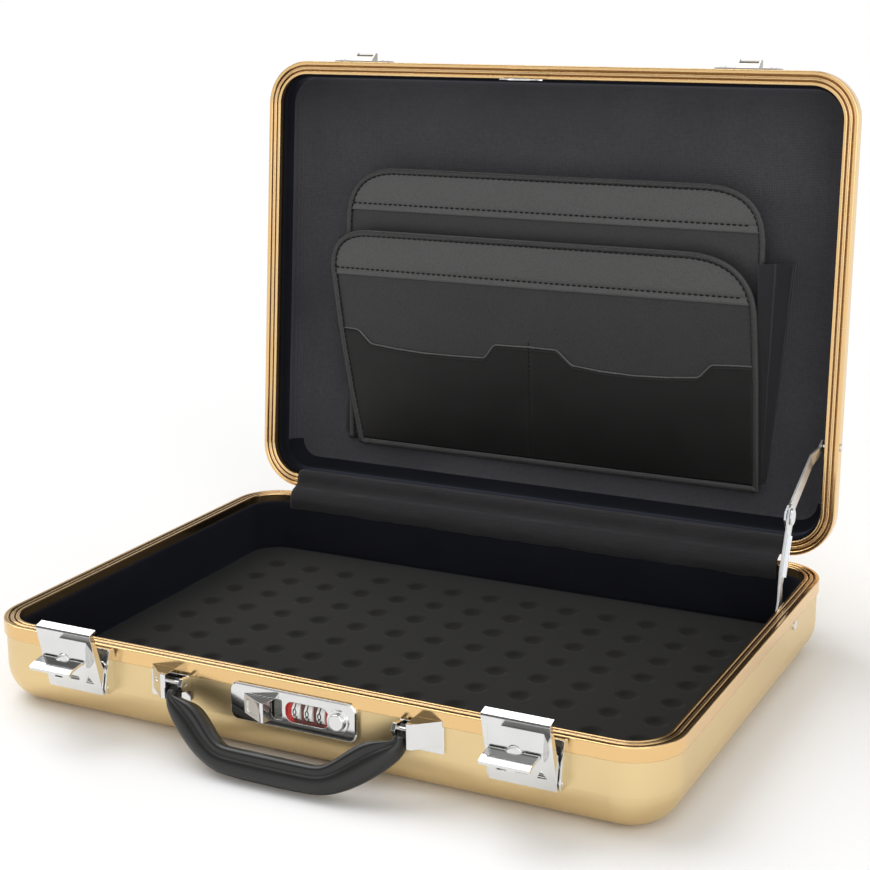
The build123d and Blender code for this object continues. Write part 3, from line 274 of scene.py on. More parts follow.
def velvet_mat(name, base, light):
    m = Mat(name, base, 0.95)
    fibre = m.noise(1900.0, 3.0, 0.7)
    brushed = m.noise(1.0, 4.0, 0.6, m.scaled(16, 16, 42))
    m.colour(m.mix(m.math("MULTIPLY", fibre, brushed), base, light))
    m.roughness(fibre, 0.85, 1.0)
    m.bump(fibre, 0.5, 0.0002)
    m.bump(brushed, 0.12, 0.0008)
    m.set(Sheen_Weight=0.22, Sheen_Roughness=0.35, Specular_IOR_Level=0.1)
    m.b.inputs["Sheen Tint"].default_value = (0.55, 0.6, 0.8, 1)
    return m.m


def foam_mat(name, base, light):
    """Open-cell foam: tiny pits and a chalky surface."""
    m = Mat(name, base, 0.95)
    pits = m.cells(1300.0)
    fine = m.noise(2200.0, 4.0, 0.7)
    drift = m.noise(14.0, 3.0)
    c = m.mix(m.math("MULTIPLY", fine, m.span(drift, 0.6, 1.3)), base, light)
    m.colour(m.mix(m.span(pits, 1.0, 0.0, 0.0, 0.35), c, dim(base, 0.45)))
    m.roughness(fine, 0.86, 1.0)
    m.bump(pits, 0.45, 0.00025)
    m.bump(fine, 0.3, 0.0001)
    m.set(Sheen_Weight=0.05, Sheen_Roughness=0.6, Specular_IOR_Level=0.2)
    return m.m


def leather_mat(name, base, light, rough=0.42, scale=900.0, strength=0.35, coat=0.0):
    """Pebbled coated leather: creased cells, pores, soft handling sheen."""
    m = Mat(name, base, rough)
    warp = m.node("ShaderNodeVectorMath")
    warp.operation = "ADD"
    ncol = m.node("ShaderNodeTexNoise", Vector=m.tc, Scale=240.0, Detail=2.0).outputs["Color"]
    sc = m.node("ShaderNodeVectorMath", Vector=ncol)
    sc.operation = "SCALE"
    sc.inputs["Scale"].default_value = 0.0012
    m.link(m.tc, warp.inputs[0])
    m.link(sc.outputs[0], warp.inputs[1])
    crease = m.cells(scale, warp.outputs[0], "DISTANCE_TO_EDGE")
    grain = m.span(crease, 0.0, 1.0, 0.0, 0.22)
    pore = m.noise(2400.0, 3.0)
    drift = m.noise(11.0, 3.0)
    m.colour(m.mix(m.math("MULTIPLY", grain, m.span(drift, 0.55, 1.15)), base, light))
    m.roughness(m.math("ADD", m.math("MULTIPLY", m.noise(26.0, 4.0), 0.6), m.math("MULTIPLY", pore, 0.4)), rough - 0.07, rough + 0.12)
    m.bump(grain, strength, 0.00010)
    m.bump(pore, 0.12, 0.00005)
    m.bump(m.noise(34.0, 3.0), 0.10, 0.0006)
    m.set(Specular_IOR_Level=0.36, Coat_Weight=coat, Coat_Roughness=0.3)
    return m.m


def red_ground(name):
    """Red enamel at the two ends of the dial window, painted darker red between the wheels as the shade there."""
    m = Mat(name, (0.5, 0.02, 0.015), 0.35)
    x = m.node("ShaderNodeSeparateXYZ", Vector=m.tc).outputs["X"]
    away = m.math("ABSOLUTE", m.math("ADD", x, -0.0115), 0.0)
    red = m.mix(m.noise(300.0, 3.0), (0.46, 0.014, 0.010), (0.62, 0.030, 0.022))
    # painted shade: between the wheels the red is darkened to stand in for the shadow there
    between_wheels_shade = m.mix(m.noise(700.0, 3.0), (0.10, 0.022, 0.018), (0.16, 0.05, 0.04))
    m.colour(m.mix(m.span(away, 0.0, 1.0, 0.0100, 0.0108), between_wheels_shade, red))
    m.roughness(m.noise(500.0, 3.0), 0.28, 0.42)
    m.bump(m.noise(900.0, 2.0), 0.05, 0.00005)
    return m.m


GOLD = (0.80, 0.615, 0.33)
GOLD_R = (0.84, 0.56, 0.26)
mats = {
    "gold_shell": satin_gold("gold_shell_satin", GOLD, 0.34, (40, 40, 900)),
    # the last colour is the painted shade for the rim's grooves
    "gold_rim": satin_gold("gold_rim_bright", GOLD_R, 0.15, (2400, 2400, 2400), (0.33, 0.15, 0.045)),
    "black_plastic": plastic("black_plastic_grain", (0.0085, 0.0082, 0.0078), 0.31),
    "red_backing": red_ground("red_enamel"),
    "dial_white": plastic("dial_ivory", (0.93, 0.92, 0.87), 0.32, 1400.0, 0.05, (0.95, 0.94, 0.9)),
    "steel": bright_metal("steel_turned", (0.60, 0.59, 0.56), 0.24),
    "hinge_steel": bright_metal("hinge_steel_brushed", (0.62, 0.52, 0.34), 0.26, grain=(60, 900, 900)),
    "stay_steel": bright_metal("stay_steel_plated", (0.86, 0.88, 0.90), 0.30),
    # painted shade: a darkened copy of the chrome for the keepers, standing in for the dark reflections on them
    "keeper_steel": bright_metal("keeper_chrome_painted_shade", (0.40, 0.38, 0.35), 0.16),
    "chrome": bright_metal("chrome_plate", (0.80, 0.80, 0.79), 0.09),
    "velvet": velvet_mat("navy_velvet", (0.0046, 0.0049, 0.0068), (0.016, 0.017, 0.025)),
    "foam": foam_mat("charcoal_foam", (0.0052, 0.0048, 0.0043), (0.0150, 0.0140, 0.0128)),
    "lid_cloth": cloth("lid_cloth_charcoal", (0.014, 0.0135, 0.0155), (0.067, 0.065, 0.072), strength=0.5),
    "hinge_cloth": cloth("hinge_cloth_grey", (0.009, 0.009, 0.010), (0.026, 0.025, 0.027), weave=900.0, sheen=0.12),
    "leather": leather_mat("leather_black_smooth", (0.0026, 0.0024, 0.0022), (0.0062, 0.0058, 0.0054), 0.42, 1100.0, 0.12),
    "gusset_cloth": cloth("gusset_cloth_black", (0.010, 0.0095, 0.011), (0.028, 0.027, 0.030)),
}
leather_grey = leather_mat("leather_band_grey", (0.055, 0.055, 0.055), (0.100, 0.100, 0.098), 0.42, 1250.0, 0.35)
leather_edge = leather_mat("leather_binding", (0.020, 0.020, 0.020), (0.050, 0.050, 0.050), 0.33, 800.0, 0.3)
# painted highlight: a lighter leather that stands in for the bright highlight line along the card pockets' edge
card_edge_highlight = leather_mat("leather_edge_painted_highlight", (0.060, 0.060, 0.058), (0.150, 0.148, 0.142), 0.30, 900.0, 0.2)
thread = cloth("thread_black", (0.0015, 0.0015, 0.0015), (0.006, 0.006, 0.006), 0.75, 3000.0, 0.0)
panel_cloth = leather_mat("pocket_panel_leather", (0.019, 0.0185, 0.019), (0.043, 0.042, 0.044), 0.46, 1250.0, 0.35)
ink = plastic("dial_ink", (0.012, 0.012, 0.012), 0.4, 1500.0, 0.05)

slot_of = {}
for s in frame["record"]["materials"]:
    for n in s.get("nodes", s.get("applies_to", [])) or []:
        slot_of[n] = s["slot"]
for n, o in NODES.items():
    if n not in slot_of:
        names = [x.name.split(".")[0] for x in o.data.materials if x]
        slot_of[n] = names[0] if names and names[0] in mats else None
FALL = {
    "gold_shell": ("base_shell", "lid_shell"), "gold_rim": ("base_frame", "lid_frame"),
    "black_plastic": ("handle_grip", "handle_back", "lock_case"), "red_backing": ("lock_backing",),
    "dial_white": ("lock_dial_1", "lock_dial_2", "lock_dial_3"), "hinge_steel": ("hinge_leaf_base", "hinge_leaf_lid", "hinge_pin", "hinge_rivets_base", "hinge_rivets_lid"),
    "stay_steel": ("stay_lower", "stay_upper"), "steel": ("dial_axle", "handle_pins", "bracket_screws", "latch_rivets", "stay_base_rivet", "stay_lid_rivet", "keeper_rivets", "stay_knuckle_rivet"),
}
for slot, names in FALL.items():
    for n in names:
        if slot_of.get(n) is None:
            slot_of[n] = slot
for n, o in NODES.items():
    # keepers take the darkened chrome copy (painted shade)
    m = mats["keeper_steel" if n.startswith("keeper_") and "rivets" not in n else slot_of.get(n) or "chrome"]
    o.data.materials.clear()
    o.data.materials.append(m)

# ---------------------------------------------------------------- mesh helpers


def make(name, verts, faces, mat, body, smooth=True):
    me = bpy.data.meshes.new(name)
    me.from_pydata([tuple(v) for v in verts], [], faces)
    me.validate()
    me.materials.append(mat)
    me.polygons.foreach_set("use_smooth", [smooth] * len(me.polygons))
    me.update()
    o = bpy.data.objects.new(name, me)
    bpy.context.scene.collection.objects.link(o)
    if body:
        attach(o, body)
    return o


def grid_faces(nu, nv, base=0, wrap=False, flip=False):
    out = []
    for j in range(nv - 1):
        for i in range(nu if wrap else nu - 1):
            k = (i + 1) % nu
            f = (base + j * nu + i, base + j * nu + k, base + (j + 1) * nu + k, base + (j + 1) * nu + i)
            out.append(f[::-1] if flip else f)
    return out


def slab(front, back, nu, nv):
    """Closed sheet from a front grid and a back grid with the same layout."""
    n = nu * nv
    faces = grid_faces(nu, nv) + grid_faces(nu, nv, n, flip=True)
    for j in range(nv - 1):
        a, b = j * nu, (j + 1) * nu
        faces.append((a, b, b + n, a + n))
        a, b = a + nu - 1, b + nu - 1
        faces.append((b, a, a + n, b + n))
    for i in range(nu - 1):
        a, b = i, i + 1
        faces.append((b, a, a + n, b + n))
        a, b = (nv - 1) * nu + i, (nv - 1) * nu + i + 1
        faces.append((a, b, b + n, a + n))
    return list(front) + list(back), faces


def rounded(d, arc=10, step=9.0):
    """Points round the rim at an inset d, always the same number for the same arc and step. Millimetres."""
    hx, hy, r = W / 2 - d, D / 2 - d, max(RC - d, 5.0)
    nx, ny = int((W - 2 * RC) / step), int((D - 2 * RC) / step)
    pts = []
    corners = [(hx - r, -hy + r, -90), (hx - r, hy - r, 0), (-hx + r, hy - r, 90), (-hx + r, -hy + r, 180)]
    sides = [ny, nx, ny, nx]
    for k, (cx, cy, a0) in enumerate(corners):
        for i in range(arc + 1):
            a = math.radians(a0 + 90 * i / arc)
            pts.append((cx + r * math.cos(a), cy + r * math.sin(a)))
        nxt = corners[(k + 1) % 4]
        b0 = math.radians(nxt[2])
        p, q = pts[-1], (nxt[0] + r * math.cos(b0), nxt[1] + r * math.sin(b0))
        for i in range(1, sides[k]):
            t = i / sides[k]
            pts.append((p[0] + (q[0] - p[0]) * t, p[1] + (q[1] - p[1]) * t))
    return pts


def wob(p, scale, seed=0.0):
    return noise.noise(Vector(p) * scale + Vector((seed, seed * 1.7, seed * 0.3)))


def tube(points, up, rx, ry, seg=10, closed=False):
    """Tube along points; up is the direction its ry lies in."""
    n = len(points)
    verts = []
    for i, p in enumerate(points):
        t = (points[min(i + 1, n - 1)] - points[max(i - 1, 0)]).normalized()
        s = t.cross(up).normalized()
        u = s.cross(t).normalized()
        for k in range(seg):
            a = 2 * math.pi * k / seg
            verts.append(p + s * (rx * math.cos(a)) + u * (ry * math.sin(a)))
    faces = grid_faces(seg, n, wrap=True, flip=True)
    faces.append(tuple(range(seg)))
    faces.append(tuple((n - 1) * seg + k for k in range(seg))[::-1])
    return verts, faces


def resample(points, step):
    out, acc = [points[0]], 0.0
    for a, b in zip(points, points[1:]):
        l = (b - a).length
        while acc + l >= step:
            t = (step - acc) / l
            a = a.lerp(b, t)
            out.append(a)
            l = (b - a).length
            acc = 0.0
        acc += l
    return out


def stitches(name, points, up, body, pitch=4.4, length=3.2, r=0.56):
    """A row of separate thread stitches, each a small arched stub whose ends dive into the cloth."""
    pts = resample(points, pitch * MM)
    verts, faces = [], []
    for a, b in zip(pts, pts[1:]):
        t = (b - a).normalized()
        s = t.cross(up).normalized()
        rows = [(-0.5, -0.55, 0.6), (-0.34, 0.05, 1.0), (0.0, 0.22, 1.1), (0.34, 0.05, 1.0), (0.5, -0.55, 0.6)]
        base = len(verts)
        for u, h, k in rows:
            c = a + t * (u * length * MM) + up * (h * r * MM)
            for q in range(6):
                w = 2 * math.pi * q / 6
                verts.append(c + s * (r * k * MM * math.cos(w)) + up * (0.8 * r * k * MM * math.sin(w)))
        for j in range(4):
            for q in range(6):
                q2 = (q + 1) % 6
                faces.append((base + j * 6 + q, base + (j + 1) * 6 + q, base + (j + 1) * 6 + q2, base + j * 6 + q2))
        faces.append(tuple(base + q for q in range(6)))
        faces.append(tuple(base + 24 + q for q in range(6))[::-1])
    return make(name, verts, faces, thread, body)


# ---------------------------------------------------------------- base: velvet wall and foam


def wall_lining():
    prof = [(8.95, 10.9), (8.95, 46.0), (8.95, 48.6), (9.6, 48.95), (10.8, 48.95), (11.7, 48.6), (12.1, 47.6), (12.35, 44), (12.6, 36),
            (12.7, 28), (12.6, 20), (12.35, 14.5), (12.0, 12.0), (11.3, 10.9)]
    base = rounded(0)
    n = len(base)
    verts = []
    for k, (d, z) in enumerate(prof):
        for i, (x, y) in enumerate(rounded(d)):
            e = 0.0
            if 5 <= k <= 12:
                e = 0.35 * wob((x, y, z), 0.035, 3.0) + 0.12 * wob((x, y, z), 0.16, 5.0)
            nx, ny = base[i][0] - x, base[i][1] - y
            l = math.hypot(nx, ny) or 1.0
            verts.append(((x - nx / l * e) * MM, (y - ny / l * e) * MM, z * MM))
    faces = grid_faces(n, len(prof), wrap=True)
    m = len(prof) - 1
    faces += [(m * n + i, m * n + (i + 1) % n, (i + 1) % n, i) for i in range(n)]
    o = make("base_wall_velvet", verts, faces, mats["velvet"], "base")
    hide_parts("base_lining")
    return o


def foam_pad():
    step = 1.45
    d0, r0 = 9.4, 23.6
    hx, hy = W / 2 - d0, D / 2 - d0
    nx, ny = int(2 * hx / step) + 1, int(2 * hy / step) + 1
    xs, ys = np.linspace(-hx, hx, nx), np.linspace(-hy, hy, ny)
    X, Y = np.meshgrid(xs, ys)
    # points outside the rounded corners slide on to them
    cx, cy = np.clip(X, -hx + r0, hx - r0), np.clip(Y, -hy + r0, hy - r0)
    dx, dy = X - cx, Y - cy
    l = np.hypot(dx, dy)
    over = (l > r0) & (np.abs(dx) > 0) & (np.abs(dy) > 0)
    k = np.where(over, r0 / np.maximum(l, 1e-9), 1.0)
    X, Y = cx + dx * k, cy + dy * k
    u, v = (X + 5) / 30.2, (Y + 3.2) / 30.3
    i, j = np.clip(np.round(u), -6, 6), np.clip(np.round(v), -4, 4)
    r = np.hypot((u - i) * 30.2, (v - j) * 30.3)
    t = 3.1 * (1 - (r / 7.4) ** 2.6)
    dip = (np.sqrt(t * t + 0.04) + t) / 2 - 0.01
    Z = FOAM_Z - np.maximum(dip, 0)
    fine = np.array([0.10 * wob((x, y, 0), 0.045, 9.0) + 0.05 * wob((x, y, 0), 0.5, 2.0) for x, y in zip(X.ravel(), Y.ravel())]).reshape(X.shape)
    Z = np.minimum(Z + fine - 0.06, FOAM_Z - 0.01)
    verts = np.stack([X, Y, Z], -1).reshape(-1, 3)
    faces = grid_faces(nx, ny)
    # boundary loop, then a skirt down into the shell
    loop = [i for i in range(nx)] + [j * nx + nx - 1 for j in range(1, ny)] + [(ny - 1) * nx + i for i in range(nx - 2, -1, -1)] + [j * nx for j in range(ny - 2, 0, -1)]
    top = verts[loop]
    rings, prev = [], loop
    extra = []
    for d, z in ((9.4, 8.9), (12.5, 6.4), (17.5, 3.4), (27.0, 1.5)):
        e = d - d0
        ring = []
        for p in top:
            qx, qy = np.clip(p[0], -hx + r0, hx - r0), np.clip(p[1], -hy + r0, hy - r0)
            n = np.array([p[0] - qx, p[1] - qy])
            n = n / (np.linalg.norm(n) or 1.0)
            ring.append(len(verts) + len(extra))
            extra.append((p[0] - n[0] * e, p[1] - n[1] * e, z))
        m = len(loop)
        faces += [(prev[a], ring[a], ring[(a + 1) % m], prev[(a + 1) % m]) for a in range(m)]
        prev = ring
    faces.append(tuple(prev)[::-1])
    verts = np.concatenate([verts, np.array(extra)]) * MM
    o = make("foam_pad_dimpled", verts.tolist(), faces, mats["foam"], "base")
    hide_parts("base_foam_pad")
    return o


wall_lining()
foam_pad()

# ---------------------------------------------------------------- lid lining


def lid_lining():
    prof = [(9.2, 6.9), (9.8, 6.35), (10.9, 6.3), (11.8, 6.7), (12.1, 7.6), (12.35, 10), (12.45, 13), (12.3, 16), (12.0, LZ - 12)]
    for k in range(1, 9):
        a = math.pi / 2 * k / 8
        prof.append((24 - 12 * math.cos(a), LZ - 12 + 12 * math.sin(a)))
    prof += [(30, LZ - 0.1), (42, LZ - 0.25), (60, LZ - 0.4), (84, LZ - 0.5), (110, LZ - 0.5), (136, LZ - 0.5), (155, LZ - 0.5)]
    back = [(d - 1.0 if z < LZ - 1 else d, min(z + 1.3, LZ + 1.3)) for d, z in prof]
    back[0] = (8.95, 7.3)
    n = len(rounded(0))
    verts = []
    for side, pr in ((0, prof), (1, back)):
        for k, (d, z) in enumerate(pr):
            for x, y in rounded(d):
                e = 0.0
                if side == 0 and k > 4:
                    e = 0.45 * wob((x, y, z), 0.022, 1.0) + 0.18 * wob((x, y, z), 0.08, 4.0)
                verts.append(lid(x, y, z - e))
    m = len(prof)
    faces = grid_faces(n, m, wrap=True, flip=False) + grid_faces(n, m, n * m, wrap=True, flip=True)
    faces += [(i, (i + 1) % n, n * m + (i + 1) % n, n * m + i)[::-1] for i in range(n)]
    faces.append(tuple((m - 1) * n + i for i in range(n)))
    faces.append(tuple(n * m + (m - 1) * n + i for i in range(n))[::-1])
    o = make("lid_lining_cloth", verts, faces, mats["lid_cloth"], "lid")
    o.data.materials.append(mats["velvet"])
    for f in o.data.polygons:
        k = min(f.vertices) // n
        ys = [rounded(prof[k][0])[v % n][1] for v in f.vertices] if k < 15 and len(f.vertices) == 4 else [0]
        # painted shade: the hinge-side wall of the lining takes the darker velvet to stand in for the shade in that
        # recess
        hinge_wall_shade = k < 14 and min(ys) > D / 2 - 34
        if k < 8 or hinge_wall_shade or m <= k < m + 8 or len(f.vertices) == 4 and max(f.vertices) - min(f.vertices) >= n * m:
            f.material_index = 1
    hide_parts("lid_lining")
    return o


lid_lining()

# ---------------------------------------------------------------- organiser


class Panel:
    """A leaning pocket panel: x across, y from its bottom edge up, h out towards the viewer. Millimetres."""

    def __init__(self, node):
        c = lid_coords(node)
        b, t = c[c[:, 1].argmax()], c[:, 1].min()
        self.y0, self.z0 = b[1], c[c[:, 1] > b[1] - 0.3][:, 2].min()
        top = c[c[:, 1] < t + 0.6]
        self.y1, self.z1 = t + 0.1, top[:, 2].min()
        self.h = math.hypot(self.y1 - self.y0, self.z1 - self.z0)
        self.dy, self.dz = (self.y1 - self.y0) / self.h, (self.z1 - self.z0) / self.h

    def at(self, x, y, h=0.0):
        return lid(x, self.y0 + self.dy * y - self.dz * h, self.z0 + self.dz * y + self.dy * h)

    @property
    def out(self):
        return (self.at(0, 50, 10) - self.at(0, 50, 0)).normalized()


def bez(a, c, b, n=14):
    return [((1 - t) ** 2 * a[0] + 2 * t * (1 - t) * c[0] + t * t * b[0], (1 - t) ** 2 * a[1] + 2 * t * (1 - t) * c[1] + t * t * b[1])
            for t in (i / n for i in range(n + 1))]


def chain_x(chain, y):
    for (x0, y0), (x1, y1) in zip(chain, chain[1:]):
        if y <= y1 or (x1, y1) == chain[-1]:
            return x0 + (x1 - x0) * (min(max((y - y0) / max(y1 - y0, 1e-9), 0), 1))
    return chain[-1][0]


def rows_for(h, lo, n=46):
    """Row heights from lo to h, closer together near the top corners."""
    return [lo + (h - lo) * (1 - (1 - i / n) ** 1.9) for i in range(n + 1)]


def panel_sheet(name, p, left, right, rows, height, thick, mat, nu=90, inset=0.0):
    front, back = [], []
    for y in rows:
        xa, xb = chain_x(left, y) + inset, chain_x(right, y) - inset
        for i in range(nu):
            x = xa + (xb - xa) * i / (nu - 1)
            h = height(x, y, (x - xa) / (xb - xa))
            front.append(p.at(x, y, h))
            back.append(p.at(x, y, h - thick))
    verts, faces = slab(front, back, nu, len(rows))
    return make(name, verts, faces, mat, "lid")


def edge_path(p, left, right, inset, h):
    """From the bottom left, round the top, to the bottom right, inset from the outline."""
    pts = [Vector((x, y)) for x, y in left] + [Vector((x, y)) for x, y in right[::-1]]
    fine = []
    for a, b in zip(pts, pts[1:]):
        n = max(1, int((b - a).length / 3.0))
        fine += [a.lerp(b, i / n) for i in range(n)]
    fine.append(pts[-1])
    out = []
    for i, q in enumerate(fine):
        t = (fine[min(i + 1, len(fine) - 1)] - fine[max(i - 1, 0)]).normalized()
        out.append(q + Vector((t.y, -t.x)) * inset)
    return [p.at(q.x, q.y, h(q.x, q.y) if callable(h) else h) for q in out]


def pocket(tag, node, left, right, band, puff, seed, body_mat):
    p = Panel(node)
    H = p.h
    left, right = left(H), right(H)

    def bulge(x, y, u):
        return puff * math.sin(math.pi * u) * math.sin(math.pi * min(1, y / H) ** 0.8) - 0.15 + 0.22 * wob((x, y, 0), 0.03, seed)

    panel = panel_sheet(tag + "_panel", p, left, right, rows_for(H - 0.8, 0.0), bulge, 1.2, body_mat, inset=0.8)
    area = 0.5 * abs(sum(a[0] * b[1] - b[0] * a[1] for a, b in zip(left + right[::-1], (left + right[::-1])[1:] + left[:1])))

    def band_h(x, y, u):
        d = y - (H - band)
        seam = 0.45 * math.exp(-((d - 5.2) / 1.3) ** 2)
        hem = 0.35 * math.exp(-((d - 1.8) / 1.6) ** 2)
        return bulge(x, y, u) + 1.0 - seam + hem + 0.10 * wob((x, y, 0), 0.08, seed + 2)

    rows = [H - band + t for t in (0, 0.6, 1.4, 2.4, 3.4, 4.2, 4.8, 5.2, 5.6, 6.2, 7.2, 9, 12, 15, 18, 21, 24)]
    rows = [r for r in rows if r < H - 6] + [H - 5.5, H - 4, H - 2.6, H - 1.2]
    strip = panel_sheet(tag + "_band", p, left, right, rows, band_h, 0.9, leather_grey, inset=1.2)
    # folded binding round the free edges
    out = p.out
    path = edge_path(p, left, right, 2.5, lambda x, y: 0.45)
    v, f = tube(resample(path, 2.5 * MM) + [path[-1]], out, 2.5 * MM, 1.75 * MM, 14)
    bind = make(tag + "_binding", v, f, leather_edge, "lid")
    st = stitches(tag + "_stitch_edge", edge_path(p, left, right, 4.6, lambda x, y: 1.35 if y > H - band else 0.75)[2:-2], out, "lid")
    xa, xb = chain_x(left, H - band + 5.2) + 6, chain_x(right, H - band + 5.2) - 6
    n = 90
    line = [p.at(xa + (xb - xa) * i / n, H - band + 5.2, band_h(xa + (xb - xa) * i / n, H - band + 5.2, i / n) + 0.12) for i in range(n + 1)]
    st2 = stitches(tag + "_stitch_band", line, out, "lid")
    w = max(x for x, _ in right) - min(x for x, _ in left)
    return p, panel, strip, bind, st, st2, (w * MM, H * MM, area * MM * MM), bulge


p_back, panel_b, strip_b, bind_b, sb1, sb2, flat_b, _ = pocket(
    "pocket_back", "pocket_back",
    lambda H: [(-167.0, 0)] + [(-167.5, H - 44)] + bez((-167.5, H - 44), (-166.5, H), (-122, H))[1:],
    lambda H: [(167.0, 0)] + [(167.5, H - 40)] + bez((167.5, H - 40), (166.5, H), (122, H))[1:],
    33.5, 1.6, 11.0, panel_cloth)
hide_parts("pocket_back")

p_front, panel_f, strip_f, bind_f, sf1, sf2, flat_f, bulge_f = pocket(
    "pocket_front", "pocket_front",
    lambda H: [(-156.0, 0), (-164.0, 44), (-171.0, 92), (-175.5, H - 36)] + bez((-175.5, H - 36), (-178.0, H), (-140, H))[1:],
    lambda H: [(169.5, 0), (168.0, 80), (166.0, H - 46)] + bez((166.0, H - 46), (164.0, H), (112, H))[1:],
    36.0, 2.0, 23.0, panel_cloth)
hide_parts("pocket_front")


# ---- card pockets
TOP = [(-163, 92.5), (-153, 92), (-142, 81.5), (-120, 79.6), (-95, 78.6), (-70, 78.8), (-44, 79.6), (-36, 90.5), (-8, 91), (15, 91), (27, 80.5),
       (50, 78.2), (75, 77.4), (100, 78.4), (124, 80.5), (133, 90.5), (150, 91.5), (166, 92)]


def card_top(x):
    """Scalloped top edge, its corners softened."""
    def raw(q):
        for (x0, y0), (x1, y1) in zip(TOP, TOP[1:]):
            if q <= x1:
                return y0 + (y1 - y0) * (max(q, x0) - x0) / (x1 - x0)
        return TOP[-1][1]
    return sum(raw(x + d) for d in (-1.6, -0.8, 0, 0.8, 1.6)) / 5


def card_h(x, y):
    top = card_top(x)
    u = (x + 158) / 150 if x < -8 else (x + 8) / 174
    u = min(max(u, 0), 1)
    v = min(max(y / top, 0), 1)
    puff = 1.9 * math.sin(math.pi * u) ** 0.7 * (math.sin(math.pi * v ** 0.75) * 0.7 + 0.55 * v)
    pinch = -0.5 * math.exp(-((x + 8) / 2.2) ** 2)
    return bulge_f(x, y, (x + 160) / 330) + 0.75 + puff * 0.8 + pinch + 0.16 * wob((x, y, 0), 0.045, 31.0)


nu, nv = 190, 34
front, back = [], []
for j in range(nv):
    t = j / (nv - 1)
    for i in range(nu):
        s = i / (nu - 1)
        y_guess = 92 * t
        xa, xb = -153.5 - 0.20 * y_guess, 165.0 - 0.02 * y_guess
        x = xa + (xb - xa) * s
        y = 3.0 + (card_top(x) - 3.0) * t
        h = card_h(x, y)
        front.append(p_front.at(x, y, h))
        back.append(p_front.at(x, y, h - 0.9))
v, f = slab(front, back, nu, nv)
cards = make("card_pockets", v, f, mats["leather"], "lid")
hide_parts("pocket_cards")
# the edge tube carries the painted highlight line
edge = [p_front.at(x, card_top(x), card_h(x, card_top(x)) - 0.35) for x in np.linspace(-170.5, 163.5, 260)]
v, f = tube(edge, p_front.out, 0.62 * MM, 0.72 * MM, 8)
card_edge = make("card_pockets_edge", v, f, card_edge_highlight, "lid")
below = [p_front.at(x, card_top(x) - 3.0, card_h(x, card_top(x) - 3.0) + 0.05) for x in np.linspace(-166, 160, 240)]
s_top = stitches("card_pockets_stitch_top", below, p_front.out, "lid", 2.6, 1.7, 0.22)
line = [p_front.at(-8, y, (card_h(-8, y) if y < card_top(-8) else bulge_f(-8, y, 0.46)) + 0.15) for y in np.linspace(5, 98, 60)]
s_mid = stitches("card_pockets_stitch_middle", line, p_front.out, "lid", 3.4, 2.3, 0.34)

# ---- bottom binding of the front pocket
path = [p_front.at(x, 1.6, 0.9) for x in np.linspace(-153.5, 167.5, 120)]
v, f = tube(path, p_front.out, 2.6 * MM, 1.5 * MM, 12)
bottom = make("pocket_front_bottom_binding", v, f, leather_edge, "lid")
s_bot = stitches("pocket_front_stitch_bottom", [p_front.at(x, 5.6, card_h(x, 5.6) + 0.1) for x in np.linspace(-150, 163, 120)], p_front.out, "lid", 4.0, 2.7, 0.34)


# ---- pleated side gussets
def gusset(side, tag):
    c = lid_coords("gusset_" + tag)
    y0, y1 = c[:, 1].max(), c[:, 1].min()
    zt0 = c[c[:, 1] > y0 - 1][:, 2].min()
    zt1 = c[c[:, 1] < y1 + 1][:, 2].min()
    rows, nu = 40, 33
    front, back = [], []
    length = 0.0
    for j in range(rows):
        t = j / (rows - 1)
        e = t ** 0.9
        y, zt = y0 + (y1 - y0) * t, zt0 + (zt1 - zt0) * t
        for i in range(nu):
            s = i / (nu - 1)
            z = (LZ - 0.6) + (zt - LZ + 0.6) * s
            fold = 0.5 - 0.5 * math.cos(2 * math.pi * 2 * s)
            x_back = 172.0 + (14.0 if side > 0 else -3.0) * e
            x_front = (165.5 if side > 0 else 156.0 + 13.0 * t) + 0.5
            x = x_back + (x_front - x_back) * s + (0.6 + (2.6 if side > 0 else 0.8) * e) * (fold - 0.4) + 0.3 * wob((y, z, s * 30), 0.05, 40.0 + side)
            front.append(lid(side * x, y, z))
            back.append(lid(side * (x + 0.9), y, z))
    if side > 0:
        v, f = slab(back, front, nu, rows)
    else:
        v, f = slab(front, back, nu, rows)
    o = make("gusset_" + tag + "_pleated", v, f, mats["gusset_cloth"], "lid")
    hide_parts("gusset_" + tag)
    return o, front, nu, rows


def grid_area(pts, nu, nv):
    a = 0.0
    for j in range(nv - 1):
        for i in range(nu - 1):
            p, q, r, s = pts[j * nu + i], pts[j * nu + i + 1], pts[(j + 1) * nu + i + 1], pts[(j + 1) * nu + i]
            a += ((q - p).cross(r - p)).length / 2 + ((r - p).cross(s - p)).length / 2
    return a


for side, tag in ((-1, "left"), (1, "right")):
    o, pts, nu_g, nv_g = gusset(side, tag)
    a = grid_area(pts, nu_g, nv_g)

# ---------------------------------------------------------------- hinge cover


